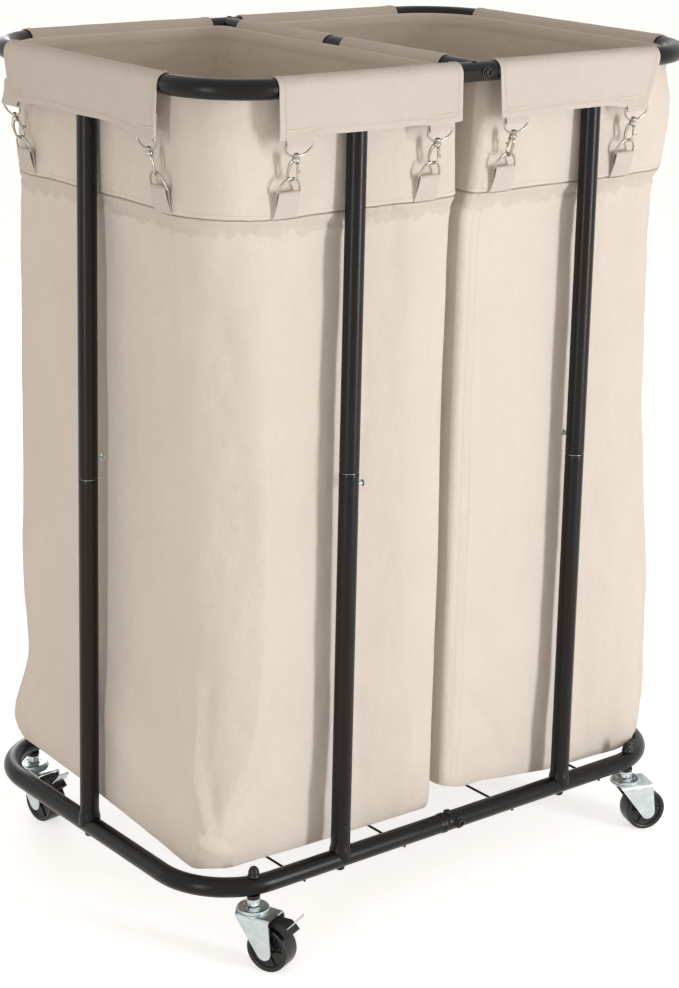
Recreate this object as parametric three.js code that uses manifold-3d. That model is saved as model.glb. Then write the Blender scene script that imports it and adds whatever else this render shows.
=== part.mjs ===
// A laundry hamper with two canvas bins: a bolted steel tube frame on four swivel casters carries
// two bags, whose flaps fold over the tubes and are clipped back to the bags with trigger hooks.
// Millimetres, +Z up. The origin is on the floor under the middle of the frame, X runs along the
// long side and -Y is the front.
import * as THREE from "three";
import { mergeVertices } from "three/addons/utils/BufferGeometryUtils.js";
import Module from "manifold-3d";

// Fits
const fit_gap = 0.3;
const cut_overrun = 4;
const weld_overlap = 0.4;

// Frame tubes: lengths between centrelines
const frame_length = 700;
const frame_width = 470;
const corner_radius = 86;
const tube_diameter = 22;
const tube_wall = 1.2;
const tube_sides = 12;
const bore_sides = 8;
const corner_steps = 5;
const ride_height = 92;
const ring_rise = 873.5;

// Joints of the two rings and their button-head bolts
const top_joint_x = 17;
const bottom_joint_x = -14;
const spigot_length = 36;
const spigot_root = 6;
const spigot_wall = 1.4;
const bolt_diameter = 6;
const bolt_sides = 6;
const washer_diameter = 14;
const washer_thickness = 1.2;
const button_head_height = 3.4;
const button_top_diameter = 8;
const joint_nut_diameter = 10;
const joint_nut_height = 5;

// Uprights
const long_side_upright_share = 0.48;
const joint_rise = 416;
const flipped_joint_rise = 452;
const upright_spigot_length = 50;
const flare_radius = 12.6;
const flare_height = 7;
const plug_height = 5;
const plug_clearance = 4;
const upright_bolt_head_diameter = 11;
const upright_bolt_head_height = 4.5;
const captive_head_diameter = 10;
const captive_head_height = 2.5;
const clamp_screw_rise = 437;
const clamp_screw_diameter = 8;
const clamp_screw_reach = 9;
const clamp_screw_inner_share = 0.5;

// Rods welded under the bottom ring
const rod_diameter = 3;
const rod_sides = 6;
const rod_overhang = 4;
const left_rod_shares = [-0.6286, -0.2171];
const right_rod_shares = [0.2571, 0.6657];

// Casters
const stem_past_bend = 22;
const stem_diameter = 8;
const stem_sides = 8;
const collar_diameter = 15;
const collar_height = 4;
const stem_hex_diameter = 16;
const stem_hex_height = 9;
const acorn_diameter = 14;
const acorn_base_height = 4;
const acorn_dome_height = 8;
const retainer_diameter = 14;
const retainer_height = 2.2;
const cap_diameter = 38.5;
const cap_sides = 12;
const cap_height = 6.3;
const cap_bevel = 1.5;
const crown_thickness = 2.5;
const crown_front = 14;
const trail = 24.5;
const wheel_crown_clearance = 8.17;
const wheel_sides = 16;
const tread_width = 24;
const tread_bevel = 1.2;
const rim_depth = 6.4;
const wheel_recess = 3;
const hub_radius = 6.5;
const axle_diameter = 6;
const axle_side_clearance = 0.5;
const left_trail_turns_deg = { front: -68, back: -83 };
const right_trail_turns_deg = { front: -19, back: 78 };
const fork_inner_width = 28;
const leg_thickness = 2;
const leg_boss_radius = 9;
const leg_top_rear = 5;
const leg_arc_steps = 4;
const rivet_head_diameter = 11;
const rivet_head_height = 2;

// Brake lever of a left caster
const brake_block_width = 20;
const brake_clearance = 3.4;
const brake_outer_reach = 13.6;
const brake_arc_start_deg = 40;
const brake_arc_end_deg = 76;
const brake_outer_end_deg = 60;
const brake_arc_steps = 4;
const brake_pivot_behind_axle = 2.5;
const brake_eye_radius = 3.2;
const brake_pin_diameter = 3.4;
const brake_tail_length = 22;
const brake_tail_thickness = 1.6;
const brake_tail_width = 18;
const brake_tail_angle_deg = 48;
const brake_tail_root_share = 0.7;
const brake_tail_root_deg = 52;

// Bags
const cloth_wall = 2.4;
const tube_cover_gap = 0.7;
const bag_base_rise = 12.5;
const bag_base_tuck = 6;
const bag_base_round = 22;
const seam_drop = 135.5;
const seam_inset = 5;
const body_drop = 40;
const end_inset = 13.3;
const side_inset = 18.3;
const rim_above_centre = 3;
const divider_rim_gap = 0.9;
const divider_body_gap = 8;
const divider_step_height = 60;
const rim_corner_ease = 3;
const body_corner_radius = 34;
const divider_corner_radius = 14;
const bag_corner_steps = 3;
const hem_root_depth = 15;
const hem_root_thickness = 4.2;
const flap_drop = 51.5;
const long_flap_outer_share = 0.8171;
const long_flap_inner_x = 26;
const short_flap_share = 0.6894;
const divider_flap_inset = 39;
const divider_flap_near_y = 10;

// Clips: a strap loop, a swivel and hook, and the D-ring that the hook holds
const clip_top_drop = 56;
const clip_lean_deg = 18;
const loop_half_width = 17.5;
const loop_depth = 14;
const loop_wire_radius = 1.2;
const wire_sides = 4;
const half_round_steps = 4;
const swivel_radius = 4.2;
const swivel_neck_radius = 2.2;
const swivel_height = 8.4;
const swivel_sides = 6;
const hook_wire_radius = 1.6;
const hook_half_width = 4.9;
const hook_drop = 41.3;
const hook_side_shares = [0, -0.75, -1, -1, -0.7, 0, 0.75, 1];
const hook_drop_shares = [0, 0.14, 0.36, 0.67, 0.9, 1, 0.9, 0.74];
const gate_radius = 1.25;
const gate_pivot_share = 0.55;
const gate_barrel_radius = 1.7;
const gate_barrel_width = 4.4;
const gate_nub_length = 4.6;
const gate_nub_share = 0.6;
const ring_half_width = 14.5;
const ring_wire_radius = 1.4;
const ring_seat_overlap = 0.2;
const ring_bar_drop = 57;
const strap_sides = 6;
const strap_thickness = 1.6;
const strap_side_clearance = 2.4;
const strap_rise = 9;
const tab_foot_height = 5;

// Places along each side, left to right as seen from outside, and the turn of each swivel hook
const long_side_clip_shares = [-0.723, -0.185, 0.126, 0.651];
const short_side_clip_shares = [-0.579, 0.562];
const front_hook_turns_deg = [-35, -35, 80, -25];
const back_hook_turns_deg = [30, -60, 50, -40];
const left_hook_turns_deg = [70, 150];
const right_hook_turns_deg = [-40, 60];

// Sizes that follow
const tube_radius = tube_diameter / 2;
const bore_radius = tube_radius - tube_wall;
const tube_flat = tube_radius * Math.cos(Math.PI / tube_sides);
const cover_radius = tube_radius + tube_cover_gap;
const bottom_z = ride_height;
const top_z = ride_height + ring_rise;
const half_length = frame_length / 2;
const half_width = frame_width / 2;
const straight_x = half_length - corner_radius;
const straight_y = half_width - corner_radius;
const stem_x = straight_x + stem_past_bend;
const stem_y = straight_y + Math.sqrt(corner_radius ** 2 - stem_past_bend ** 2);
const cap_top = bottom_z - tube_flat - 2 * fit_gap - collar_height - stem_hex_height;
const crown_top = cap_top - cap_height;
const crown_bottom = crown_top - crown_thickness;
const wheel_radius = (crown_bottom - wheel_crown_clearance) / 2;
const leg_outer = fork_inner_width / 2 + leg_thickness;
const rim_corner_radius = corner_radius - tube_radius + rim_corner_ease;
const flap_arc_steps = tube_sides / 2;
const long_side_clip_places = long_side_clip_shares.map((share) => half_length * share);
const short_side_clip_places = short_side_clip_shares.map((share) => half_width * share);

const finishes = {
  powder_coat: { color: 0x1c1a18, roughness: 0.3, metalness: 0 },
  black_oxide: { color: 0x141312, roughness: 0.4, metalness: 0.5 },
  zinc: { color: 0xb9bcbf, roughness: 0.3, metalness: 1 },
  nickel: { color: 0xcfcac0, roughness: 0.2, metalness: 1 },
  canvas: { color: 0xe2d6c7, roughness: 0.95, metalness: 0 },
  black_rubber: { color: 0x1b1b1c, roughness: 0.6, metalness: 0 },
};

const wasm = await Module();
wasm.setup();

const hamper = new THREE.Group();

function add_node(parent, name, geometry, finish) {
  const mesh = new THREE.Mesh(geometry, new THREE.MeshStandardMaterial(finishes[finish]));
  mesh.name = name;
  parent.add(mesh);
  return mesh;
}

// Closed solids
function to_solid(geometry) {
  const bare = geometry.clone();
  bare.deleteAttribute("normal");
  bare.deleteAttribute("uv");
  const welded = mergeVertices(bare);
  const corners = welded.index.array;
  const faces = [];
  for (let i = 0; i < corners.length; i += 3) {
    const [a, b, c] = corners.slice(i, i + 3);
    if (a !== b && b !== c && c !== a) faces.push(a, b, c);
  }
  return new wasm.Manifold(
    new wasm.Mesh({
      numProp: 3,
      vertProperties: welded.attributes.position.array,
      triVerts: new Uint32Array(faces),
    }),
  );
}

function to_geometry(solid) {
  const mesh = solid.getMesh();
  const geometry = new THREE.BufferGeometry();
  geometry.setAttribute("position", new THREE.BufferAttribute(mesh.vertProperties, mesh.numProp));
  geometry.setIndex(new THREE.BufferAttribute(mesh.triVerts, 1));
  geometry.computeVertexNormals();
  return geometry;
}

function join(...pieces) {
  return to_geometry(pieces.map(to_solid).reduce((whole, piece) => whole.add(piece)));
}

function cut(...pieces) {
  return to_geometry(pieces.map(to_solid).reduce((whole, piece) => whole.subtract(piece)));
}

// Sections and swept, turned and lofted pieces
function polygon(radius, sides) {
  const points = [];
  for (let i = 0; i < sides; i++) {
    const angle = ((i + 1 / 2) / sides) * 2 * Math.PI;
    points.push(new THREE.Vector2(radius * Math.cos(angle), radius * Math.sin(angle)));
  }
  return points;
}

function tube_section(outer, inner) {
  const section = new THREE.Shape(polygon(outer, tube_sides));
  section.holes.push(new THREE.Path(polygon(inner, bore_sides)));
  return section;
}

// A polyline whose steps are its own points, with a mitred section at each.
class StationLine extends THREE.Curve {
  constructor(points) {
    super();
    this.points = points;
  }

  getPoint(t) {
    const place = t * (this.points.length - 1);
    const i = Math.min(Math.floor(place), this.points.length - 2);
    return this.points[i].clone().lerp(this.points[i + 1], place - i);
  }

  getPointAt(u) {
    return this.getPoint(u);
  }

  getTangentAt(u) {
    const last = this.points.length - 1;
    const i = Math.round(u * last);
    const way = new THREE.Vector3();
    if (i > 0) way.add(this.points[i].clone().sub(this.points[i - 1]).normalize());
    if (i < last) way.add(this.points[i + 1].clone().sub(this.points[i]).normalize());
    return way.normalize();
  }
}

function sweep(points, section) {
  return new THREE.ExtrudeGeometry(section, {
    steps: points.length - 1,
    extrudePath: new StationLine(points),
  });
}

function wire(points, radius) {
  return sweep(points, new THREE.Shape(polygon(radius, wire_sides)));
}

// Turned about Z: the profile holds radius and height, from the bottom up along the outside.
function turned(profile, sides) {
  const points = profile.map(([radius, height]) => new THREE.Vector2(radius, height));
  return new THREE.LatheGeometry(points, sides, Math.PI / sides).rotateX(Math.PI / 2);
}

function round_bar(radius, from, to, sides) {
  return turned([[0, from], [radius, from], [radius, to], [0, to]], sides);
}

// The corner radius of a bore whose flats clear a round bar
function clear_bore(bar_radius, sides) {
  return (bar_radius + fit_gap) / Math.cos(Math.PI / sides);
}

function axis_to_x(geometry) {
  return geometry.rotateY(Math.PI / 2);
}

function axis_to_y(geometry) {
  return geometry.rotateX(-Math.PI / 2);
}

// A side outline in X and Z, extruded to both sides of Y = 0.
function plate(outline, width) {
  const shape = new THREE.Shape(outline.map(([x, z]) => new THREE.Vector2(x, z)));
  const geometry = new THREE.ExtrudeGeometry(shape, { depth: width, bevelEnabled: false });
  return geometry.rotateX(Math.PI / 2).translate(0, width / 2, 0);
}

function block(x0, x1, y0, y1, z0, z1) {
  const geometry = new THREE.BoxGeometry(x1 - x0, y1 - y0, z1 - z0);
  return geometry.translate((x0 + x1) / 2, (y0 + y1) / 2, (z0 + z1) / 2);
}

// Closed loft through level outlines that have as many points each.
function loft(levels) {
  const count = levels[0].outline.length;
  const positions = levels.flatMap(({ outline, z }) => outline.flatMap((point) => [point.x, point.y, z]));
  const faces = [];
  for (let level = 0; level < levels.length - 1; level++)
    for (let i = 0; i < count; i++) {
      const low = level * count + i;
      const low_next = level * count + ((i + 1) % count);
      faces.push(low, low_next, low_next + count, low, low_next + count, low + count);
    }
  const last = (levels.length - 1) * count;
  for (const [a, b, c] of THREE.ShapeUtils.triangulateShape(levels[0].outline, [])) faces.push(c, b, a);
  for (const [a, b, c] of THREE.ShapeUtils.triangulateShape(levels.at(-1).outline, []))
    faces.push(last + a, last + b, last + c);
  const geometry = new THREE.BufferGeometry();
  geometry.setAttribute("position", new THREE.BufferAttribute(new Float32Array(positions), 3));
  geometry.setIndex(faces);
  return geometry;
}

// Tube rings
function ring_half_path(side, joint_x, z) {
  const corner = (end, turn) =>
    new THREE.Vector3(
      side * (straight_x + corner_radius * Math.sin(turn)),
      end * (straight_y + corner_radius * Math.cos(turn)),
      z,
    );
  const turns = Array.from({ length: corner_steps + 1 }, (_, i) => ((Math.PI / 2) * i) / corner_steps);
  return [
    new THREE.Vector3(joint_x, -half_width, z),
    ...turns.map((turn) => corner(-1, turn)),
    ...turns.toReversed().map((turn) => corner(1, turn)),
    new THREE.Vector3(joint_x, half_width, z),
  ];
}

function spigot_sleeve(length) {
  const outer = bore_radius - fit_gap;
  const root = bore_radius + tube_wall / 2;
  const inner = outer - spigot_wall;
  return turned(
    [
      [inner, -spigot_root],
      [root, -spigot_root],
      [root, 0],
      [outer, 0],
      [outer, length],
      [inner, length],
      [inner, -spigot_root],
    ],
    bore_sides,
  );
}

function spigot(joint_x, way, y, z) {
  const piece = axis_to_x(spigot_sleeve(spigot_length));
  if (way < 0) piece.rotateZ(Math.PI);
  return piece.translate(joint_x, y, z);
}

function upright_places(side) {
  return [
    { x: side * half_length * long_side_upright_share, y: -half_width },
    { x: side * half_length, y: 0 },
    { x: side * half_length * long_side_upright_share, y: half_width },
  ];
}

function down_hole(place, diameter, sides, z0, z1) {
  return round_bar(clear_bore(diameter / 2, sides), z0, z1, sides).translate(place.x, place.y, 0);
}

function cross_hole(end, z) {
  const reach = tube_radius + cut_overrun;
  const hole = axis_to_y(round_bar(clear_bore(bolt_diameter / 2, bolt_sides), -reach, reach, bolt_sides));
  return hole.translate(0, end * half_width, z);
}

function ring_half(side, joint_x, z, has_spigot) {
  const pieces = [sweep(ring_half_path(side, joint_x, z), tube_section(tube_radius, bore_radius))];
  if (has_spigot) for (const end of [-1, 1]) pieces.push(spigot(joint_x, -side, end * half_width, z));
  const crosses = side * joint_x < 0 || has_spigot;
  const holes = crosses ? [-1, 1].map((end) => cross_hole(end, z)) : [];
  return { body: join(...pieces), holes };
}

function top_ring_half(side) {
  const { body, holes } = ring_half(side, top_joint_x, top_z, side > 0);
  const low = top_z - tube_radius - cut_overrun;
  for (const place of upright_places(side))
    holes.push(down_hole(place, bolt_diameter, bolt_sides, low, top_z));
  return cut(body, ...holes);
}

function rod(share) {
  const reach = half_width + rod_overhang;
  const radius = rod_diameter / 2;
  const bar = axis_to_y(round_bar(radius, -reach, reach, rod_sides));
  return bar.translate(half_length * share, 0, bottom_z - tube_flat - radius + weld_overlap);
}

function bottom_ring_half(side, rod_shares) {
  const { body, holes } = ring_half(side, bottom_joint_x, bottom_z, side < 0);
  const low = bottom_z - tube_radius - cut_overrun;
  const high = bottom_z + tube_radius + cut_overrun;
  for (const place of upright_places(side))
    holes.push(down_hole(place, bolt_diameter, bolt_sides, low, high));
  for (const end of [-1, 1])
    holes.push(down_hole({ x: side * stem_x, y: end * stem_y }, stem_diameter, stem_sides, low, high));
  return join(cut(body, ...holes), ...rod_shares.map(rod));
}

// Button-head bolt along +Y, its head's seat on the ring's front
function joint_bolt(reach, end_radius, end_length) {
  const seat = -tube_flat - fit_gap;
  const washer = washer_diameter / 2;
  return axis_to_y(
    turned(
      [
        [0, seat - washer_thickness - button_head_height],
        [button_top_diameter / 2, seat - washer_thickness - button_head_height],
        [washer - washer_thickness, seat - washer_thickness],
        [washer, seat - washer_thickness],
        [washer, seat],
        [bolt_diameter / 2, seat],
        [bolt_diameter / 2, reach],
        [end_radius, reach],
        [end_radius, reach + end_length],
        [0, reach + end_length],
      ],
      bolt_sides,
    ),
  );
}

function bottom_joint_bolt(end) {
  const bolt = joint_bolt(tube_flat + fit_gap, joint_nut_diameter / 2, joint_nut_height);
  if (end > 0) bolt.rotateZ(Math.PI);
  return join(bolt.translate(0, end * half_width, bottom_z));
}

function divider_tube() {
  const centre = new THREE.Vector3(0, 0, top_z);
  const ends = [-1, 1].map((end) => centre.clone().setY(end * half_width));
  const cope = axis_to_x(round_bar(tube_radius + fit_gap, -tube_diameter, tube_diameter, tube_sides));
  const copes = ends.map(({ x, y, z }) => cope.clone().translate(x, y, z));
  const tube = cut(sweep(ends, tube_section(tube_radius, bore_radius)), ...copes);
  const bolts = [-1, 1].map((end) => {
    const bolt = joint_bolt(tube_radius + plug_clearance, bore_radius + tube_wall / 2, plug_height);
    if (end > 0) bolt.rotateZ(Math.PI);
    return bolt.translate(0, end * half_width, top_z);
  });
  return join(tube, ...bolts);
}

// Upright sections, made standing on their ring's centreline and mirrored in Z for the upper one
const plug_low = tube_radius + plug_clearance;

function upright_section(length, has_spigot, foot_radius, on_short_side) {
  const outside = turned(
    [
      [0, 0],
      [foot_radius, 0],
      [foot_radius, tube_flat],
      [tube_radius, tube_flat + flare_height],
      [tube_radius, length],
      [0, length],
    ],
    tube_sides,
  );
  const foot_bore = round_bar(bore_radius, 0, plug_low, bore_sides);
  const top_bore = round_bar(bore_radius, plug_low + plug_height, length + cut_overrun, bore_sides);
  const cope = axis_to_x(round_bar(tube_radius + fit_gap, -tube_diameter, tube_diameter, tube_sides));
  if (on_short_side) cope.rotateZ(Math.PI / 2);
  const shell = cut(outside, foot_bore, top_bore, cope);
  return has_spigot ? join(shell, spigot_sleeve(upright_spigot_length).translate(0, 0, length)) : shell;
}

function through_bolt() {
  const seat = -tube_flat - fit_gap;
  const head = upright_bolt_head_diameter / 2;
  const crown = seat - upright_bolt_head_height;
  return turned(
    [
      [0, crown],
      [head / 2, crown],
      [head, seat - upright_bolt_head_height / 3],
      [head, seat],
      [bolt_diameter / 2, seat],
      [bolt_diameter / 2, plug_low + plug_height / 2],
      [0, plug_low + plug_height / 2],
    ],
    bolt_sides,
  );
}

function captive_bolt() {
  const seat = bore_radius * Math.cos(Math.PI / bore_sides) - fit_gap;
  return turned(
    [
      [0, seat - captive_head_height],
      [captive_head_diameter / 2, seat - captive_head_height],
      [bore_radius * Math.sin(Math.PI / bore_sides), seat],
      [bolt_diameter / 2, seat],
      [bolt_diameter / 2, plug_low + plug_height / 2],
      [0, plug_low + plug_height / 2],
    ],
    bolt_sides,
  );
}

function clamp_screw(turn) {
  const from = bore_radius * clamp_screw_inner_share;
  const screw = round_bar(clamp_screw_diameter / 2, from, tube_radius + clamp_screw_reach, bolt_sides);
  return axis_to_x(screw).rotateZ(turn).translate(0, 0, clamp_screw_rise);
}

function clamp_screw_hole(turn) {
  const radius = clear_bore(clamp_screw_diameter / 2, bolt_sides);
  const hole = round_bar(radius, 0, tube_radius + cut_overrun, bolt_sides);
  return axis_to_x(hole).rotateZ(turn).translate(0, 0, clamp_screw_rise);
}

// One upright: the spigot of one section slides in the other and a screw clamps them.
function add_upright(name, place, flipped, on_short_side, screw_turn) {
  const joint = flipped ? flipped_joint_rise : joint_rise;
  const lower_tube = upright_section(joint - fit_gap / 2, !flipped, flare_radius, on_short_side);
  const upper_length = ring_rise - joint - fit_gap / 2;
  const upper_tube = upright_section(upper_length, flipped, tube_radius, on_short_side);
  const lower = join(lower_tube, through_bolt());
  const upper = join(upper_tube, captive_bolt()).rotateX(Math.PI).translate(0, 0, ring_rise);
  const held = join(flipped ? lower : upper, clamp_screw(screw_turn));
  const drilled = cut(flipped ? upper : lower, clamp_screw_hole(screw_turn));
  const group = new THREE.Group();
  group.position.set(place.x, place.y, bottom_z);
  add_node(group, name + "_lower", flipped ? held : drilled, "powder_coat");
  add_node(group, name + "_upper", flipped ? drilled : held, "powder_coat");
  hamper.add(group);
}

// Caster pieces, with the wheel trailing towards +X of the stem
function caster_stem() {
  const hex_low = cap_top + fit_gap;
  const collar_low = hex_low + stem_hex_height;
  const shaft = stem_diameter / 2;
  const acorn = acorn_diameter / 2;
  const acorn_low = bottom_z + tube_flat + fit_gap;
  const dome_low = acorn_low + acorn_base_height;
  const retainer_high = crown_bottom - fit_gap;
  const stem = turned(
    [
      [0, retainer_high - retainer_height],
      [retainer_diameter / 2, retainer_high - retainer_height],
      [retainer_diameter / 2, retainer_high],
      [shaft, retainer_high],
      [shaft, hex_low],
      [stem_hex_diameter / 2, hex_low],
      [stem_hex_diameter / 2, collar_low],
      [collar_diameter / 2, collar_low],
      [collar_diameter / 2, collar_low + collar_height],
      [shaft, collar_low + collar_height],
      [shaft, acorn_low],
      [acorn, acorn_low],
      [acorn, dome_low],
      [acorn * Math.SQRT1_2, dome_low + acorn_dome_height * Math.SQRT1_2],
      [0, dome_low + acorn_dome_height],
    ],
    stem_sides,
  );
  return join(stem);
}

function fork_leg_outline() {
  const top_rear = trail + leg_top_rear;
  const reach_x = trail + crown_front;
  const reach_z = crown_top - wheel_radius;
  const away = Math.atan2(reach_z, -reach_x) + Math.acos(leg_boss_radius / Math.hypot(reach_x, reach_z));
  const outline = [[-crown_front, crown_top], [top_rear, crown_top]];
  for (let i = 0; i <= leg_arc_steps; i++) {
    const angle = -((2 * Math.PI - away) * i) / leg_arc_steps;
    outline.push([
      trail + leg_boss_radius * Math.cos(angle),
      wheel_radius + leg_boss_radius * Math.sin(angle),
    ]);
  }
  return outline;
}

function brake_pivot() {
  return { x: trail + brake_pivot_behind_axle, z: crown_bottom - brake_eye_radius - fit_gap };
}

function caster_fork(has_brake) {
  const cap_radius = cap_diameter / 2;
  const hole = clear_bore(stem_diameter / 2, stem_sides);
  const cap = turned(
    [
      [0, crown_top - weld_overlap],
      [cap_radius, crown_top - weld_overlap],
      [cap_radius, cap_top - cap_bevel],
      [cap_radius - cap_bevel, cap_top],
      [0, cap_top],
    ],
    cap_sides,
  );
  const crown = block(-crown_front, trail + leg_top_rear, -leg_outer, leg_outer, crown_bottom, crown_top);
  const outline = fork_leg_outline();
  const middle = leg_outer - leg_thickness / 2;
  const legs = [-1, 1].map((end) => plate(outline, leg_thickness).translate(0, end * middle, 0));
  const head = rivet_head_diameter / 2;
  const axle_half = axle_diameter / 2;
  const rivet = turned(
    [
      [0, -leg_outer - rivet_head_height],
      [head * Math.SQRT1_2, -leg_outer - rivet_head_height],
      [head, -leg_outer],
      [axle_half, -leg_outer],
      [axle_half, leg_outer],
      [head, leg_outer],
      [head * Math.SQRT1_2, leg_outer + rivet_head_height],
      [0, leg_outer + rivet_head_height],
    ],
    bolt_sides,
  );
  const axle = axis_to_y(rivet).translate(trail, 0, wheel_radius);
  const holes = [round_bar(hole, crown_bottom - cut_overrun, cap_top + cut_overrun, stem_sides)];
  if (has_brake) {
    const pivot = brake_pivot();
    const reach = leg_outer + cut_overrun;
    const pin_radius = clear_bore(brake_pin_diameter / 2, bolt_sides);
    const pin_hole = axis_to_y(round_bar(pin_radius, -reach, reach, bolt_sides));
    holes.push(pin_hole.translate(pivot.x, 0, pivot.z));
  }
  return join(cut(join(cap, crown, ...legs), ...holes), axle);
}

function caster_wheel() {
  const rim = wheel_radius / Math.cos(Math.PI / wheel_sides);
  const bore = clear_bore(axle_diameter / 2, wheel_sides);
  const hub_half = fork_inner_width / 2 - axle_side_clearance;
  const tread_half = tread_width / 2;
  const web_half = tread_half - wheel_recess;
  const half_profile = [
    [bore, hub_half],
    [hub_radius, web_half],
    [rim - rim_depth - wheel_recess / 2, web_half],
    [rim - rim_depth, tread_half],
    [rim, tread_half - tread_bevel],
  ];
  const mirrored = half_profile.map(([radius, y]) => [radius, -y]);
  const profile = [...mirrored, ...half_profile.toReversed(), mirrored[0]];
  return join(axis_to_y(turned(profile, wheel_sides)).translate(trail, 0, wheel_radius));
}

function around_axle(radius, angle_deg) {
  const angle = THREE.MathUtils.degToRad(angle_deg);
  return [trail + radius * Math.cos(angle), wheel_radius + radius * Math.sin(angle)];
}

function arc_around_axle(radius, from_deg, to_deg) {
  const step = (to_deg - from_deg) / brake_arc_steps;
  return Array.from({ length: brake_arc_steps + 1 }, (_, i) => around_axle(radius, from_deg + i * step));
}

function brake_lever() {
  const pivot = brake_pivot();
  const inner = wheel_radius + brake_clearance;
  const outer = wheel_radius + brake_outer_reach;
  const shoe = plate(
    [
      [pivot.x - brake_eye_radius, pivot.z],
      [pivot.x, pivot.z - brake_eye_radius],
      ...arc_around_axle(inner, brake_arc_end_deg, brake_arc_start_deg),
      ...arc_around_axle(outer, brake_arc_start_deg, brake_outer_end_deg),
      [pivot.x, pivot.z + brake_eye_radius],
    ],
    brake_block_width,
  );
  const pin = axis_to_y(round_bar(brake_pin_diameter / 2, -leg_outer, leg_outer, bolt_sides));
  const tilt = THREE.MathUtils.degToRad(brake_tail_angle_deg);
  const root_radius = inner + (outer - inner) * brake_tail_root_share;
  const [root_x, root_z] = around_axle(root_radius, brake_tail_root_deg);
  const tail = block(
    0, brake_tail_length,
    -brake_tail_width / 2, brake_tail_width / 2,
    -brake_tail_thickness / 2, brake_tail_thickness / 2,
  );
  tail.rotateY(-tilt).translate(root_x, 0, root_z);
  return join(shoe, pin.translate(pivot.x, 0, pivot.z), tail);
}

function add_caster(name, x, y, trail_turn_deg, has_brake) {
  const group = new THREE.Group();
  group.position.set(x, y, 0);
  add_node(group, name + "_stem", caster_stem(), "zinc");
  const swivel = new THREE.Group();
  swivel.rotation.z = THREE.MathUtils.degToRad(trail_turn_deg);
  add_node(swivel, name + "_fork", caster_fork(has_brake), "zinc");
  add_node(swivel, name + "_wheel", caster_wheel(), "black_rubber");
  if (has_brake) add_node(swivel, name + "_brake_lever", brake_lever(), "black_rubber");
  group.add(swivel);
  hamper.add(group);
}

// The four sides of a ring seen from outside: +X runs to the right, -Y points out.
const sides = {
  front: { turn: 0, reach: half_width },
  right: { turn: Math.PI / 2, reach: half_length },
  back: { turn: Math.PI, reach: half_width },
  left: { turn: -Math.PI / 2, reach: half_length },
  divider_right: { turn: Math.PI / 2, reach: 0 },
  divider_left: { turn: -Math.PI / 2, reach: 0 },
};

// An outline of outward distance from the tube's centre and height, swept along the side.
function along_side(side, outline, centre, width, hole = null) {
  const shape = new THREE.Shape(outline);
  if (hole) shape.holes.push(new THREE.Path(hole));
  const geometry = new THREE.ExtrudeGeometry(shape, { depth: width, bevelEnabled: false });
  const frame = new THREE.Matrix4().makeBasis(
    new THREE.Vector3(0, -1, 0),
    new THREE.Vector3(0, 0, 1),
    new THREE.Vector3(-1, 0, 0),
  );
  return geometry
    .applyMatrix4(frame)
    .translate(centre + width / 2, -side.reach, 0)
    .rotateZ(side.turn);
}

// A flap rises inside the tube and folds over it where the tube is straight; its apron hangs outside.
function flap(side, from, to, straight) {
  const fold = (radius, i) => {
    const angle = Math.PI * (1 - i / flap_arc_steps);
    return new THREE.Vector2(radius * Math.cos(angle), top_z + radius * Math.sin(angle));
  };
  const at = (out, z) => new THREE.Vector2(out, z);
  const steps = Array.from({ length: flap_arc_steps + 1 }, (_, i) => i);
  const outer_radius = cover_radius + cloth_wall;
  const hem_z = top_z - flap_drop;
  const root_z = top_z - hem_root_depth;
  const fold_outline = [
    at(-cover_radius, root_z),
    ...steps.map((i) => fold(cover_radius, i)),
    at(cover_radius, root_z),
    at(outer_radius, root_z),
    ...steps.toReversed().map((i) => fold(outer_radius, i)),
    at(-cover_radius - hem_root_thickness, top_z),
    at(-cover_radius - hem_root_thickness, root_z),
  ];
  const apron_outline = [
    at(cover_radius, hem_z),
    at(outer_radius, hem_z),
    at(outer_radius, top_z),
    at(cover_radius, top_z),
  ];
  const low = Math.max(from, -straight);
  const high = Math.min(to, straight);
  return [
    along_side(side, fold_outline, (low + high) / 2, high - low),
    along_side(side, apron_outline, (from + to) / 2, to - from),
  ];
}

// The outward distance of a clip's top bar, and of its ring's bar, from the tube's centre
const clip_top_out = cover_radius + cloth_wall / 2;
const clip_lean = THREE.MathUtils.degToRad(clip_lean_deg);
const ring_bar_out = clip_top_out - ring_bar_drop * Math.sin(clip_lean);
const clip_top_z = top_z - clip_top_drop;
const ring_bar_z = clip_top_z - ring_bar_drop * Math.cos(clip_lean);

// A strap round a bar: a loop with a bore for the bar, and a tongue that ends at the given points.
function strap(side, out, z, bar_radius, half_span, place, replaced, tongue) {
  const bore = clear_bore(bar_radius, strap_sides);
  const centre = new THREE.Vector2(out, z);
  const placed = (radius) => polygon(radius, strap_sides).map((point) => point.add(centre));
  const around = placed(bore + strap_thickness);
  around.splice(replaced, 1, ...tongue.map(([x, y]) => new THREE.Vector2(x, y)));
  const width = 2 * (half_span - bar_radius - strap_side_clearance);
  return along_side(side, around, place, width, placed(bore));
}

function upper_strap(side, place) {
  const half = cloth_wall / 2;
  const root_z = clip_top_z + loop_wire_radius + fit_gap + strap_thickness;
  const end_z = clip_top_z + strap_rise;
  const tongue = [
    [clip_top_out + half, root_z],
    [clip_top_out + half, end_z],
    [clip_top_out - half, end_z],
    [clip_top_out - half, root_z],
  ];
  return strap(side, clip_top_out, clip_top_z, loop_wire_radius, loop_half_width, place, 1, tongue);
}

function lower_strap(side, place) {
  const foot_out = -cover_radius - seam_inset - cloth_wall / 2;
  const foot_z = top_z - seam_drop;
  const tongue = [
    [foot_out, foot_z],
    [foot_out, foot_z - tab_foot_height],
  ];
  return strap(side, ring_bar_out, ring_bar_z, ring_wire_radius, ring_half_width, place, 4, tongue);
}

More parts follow.
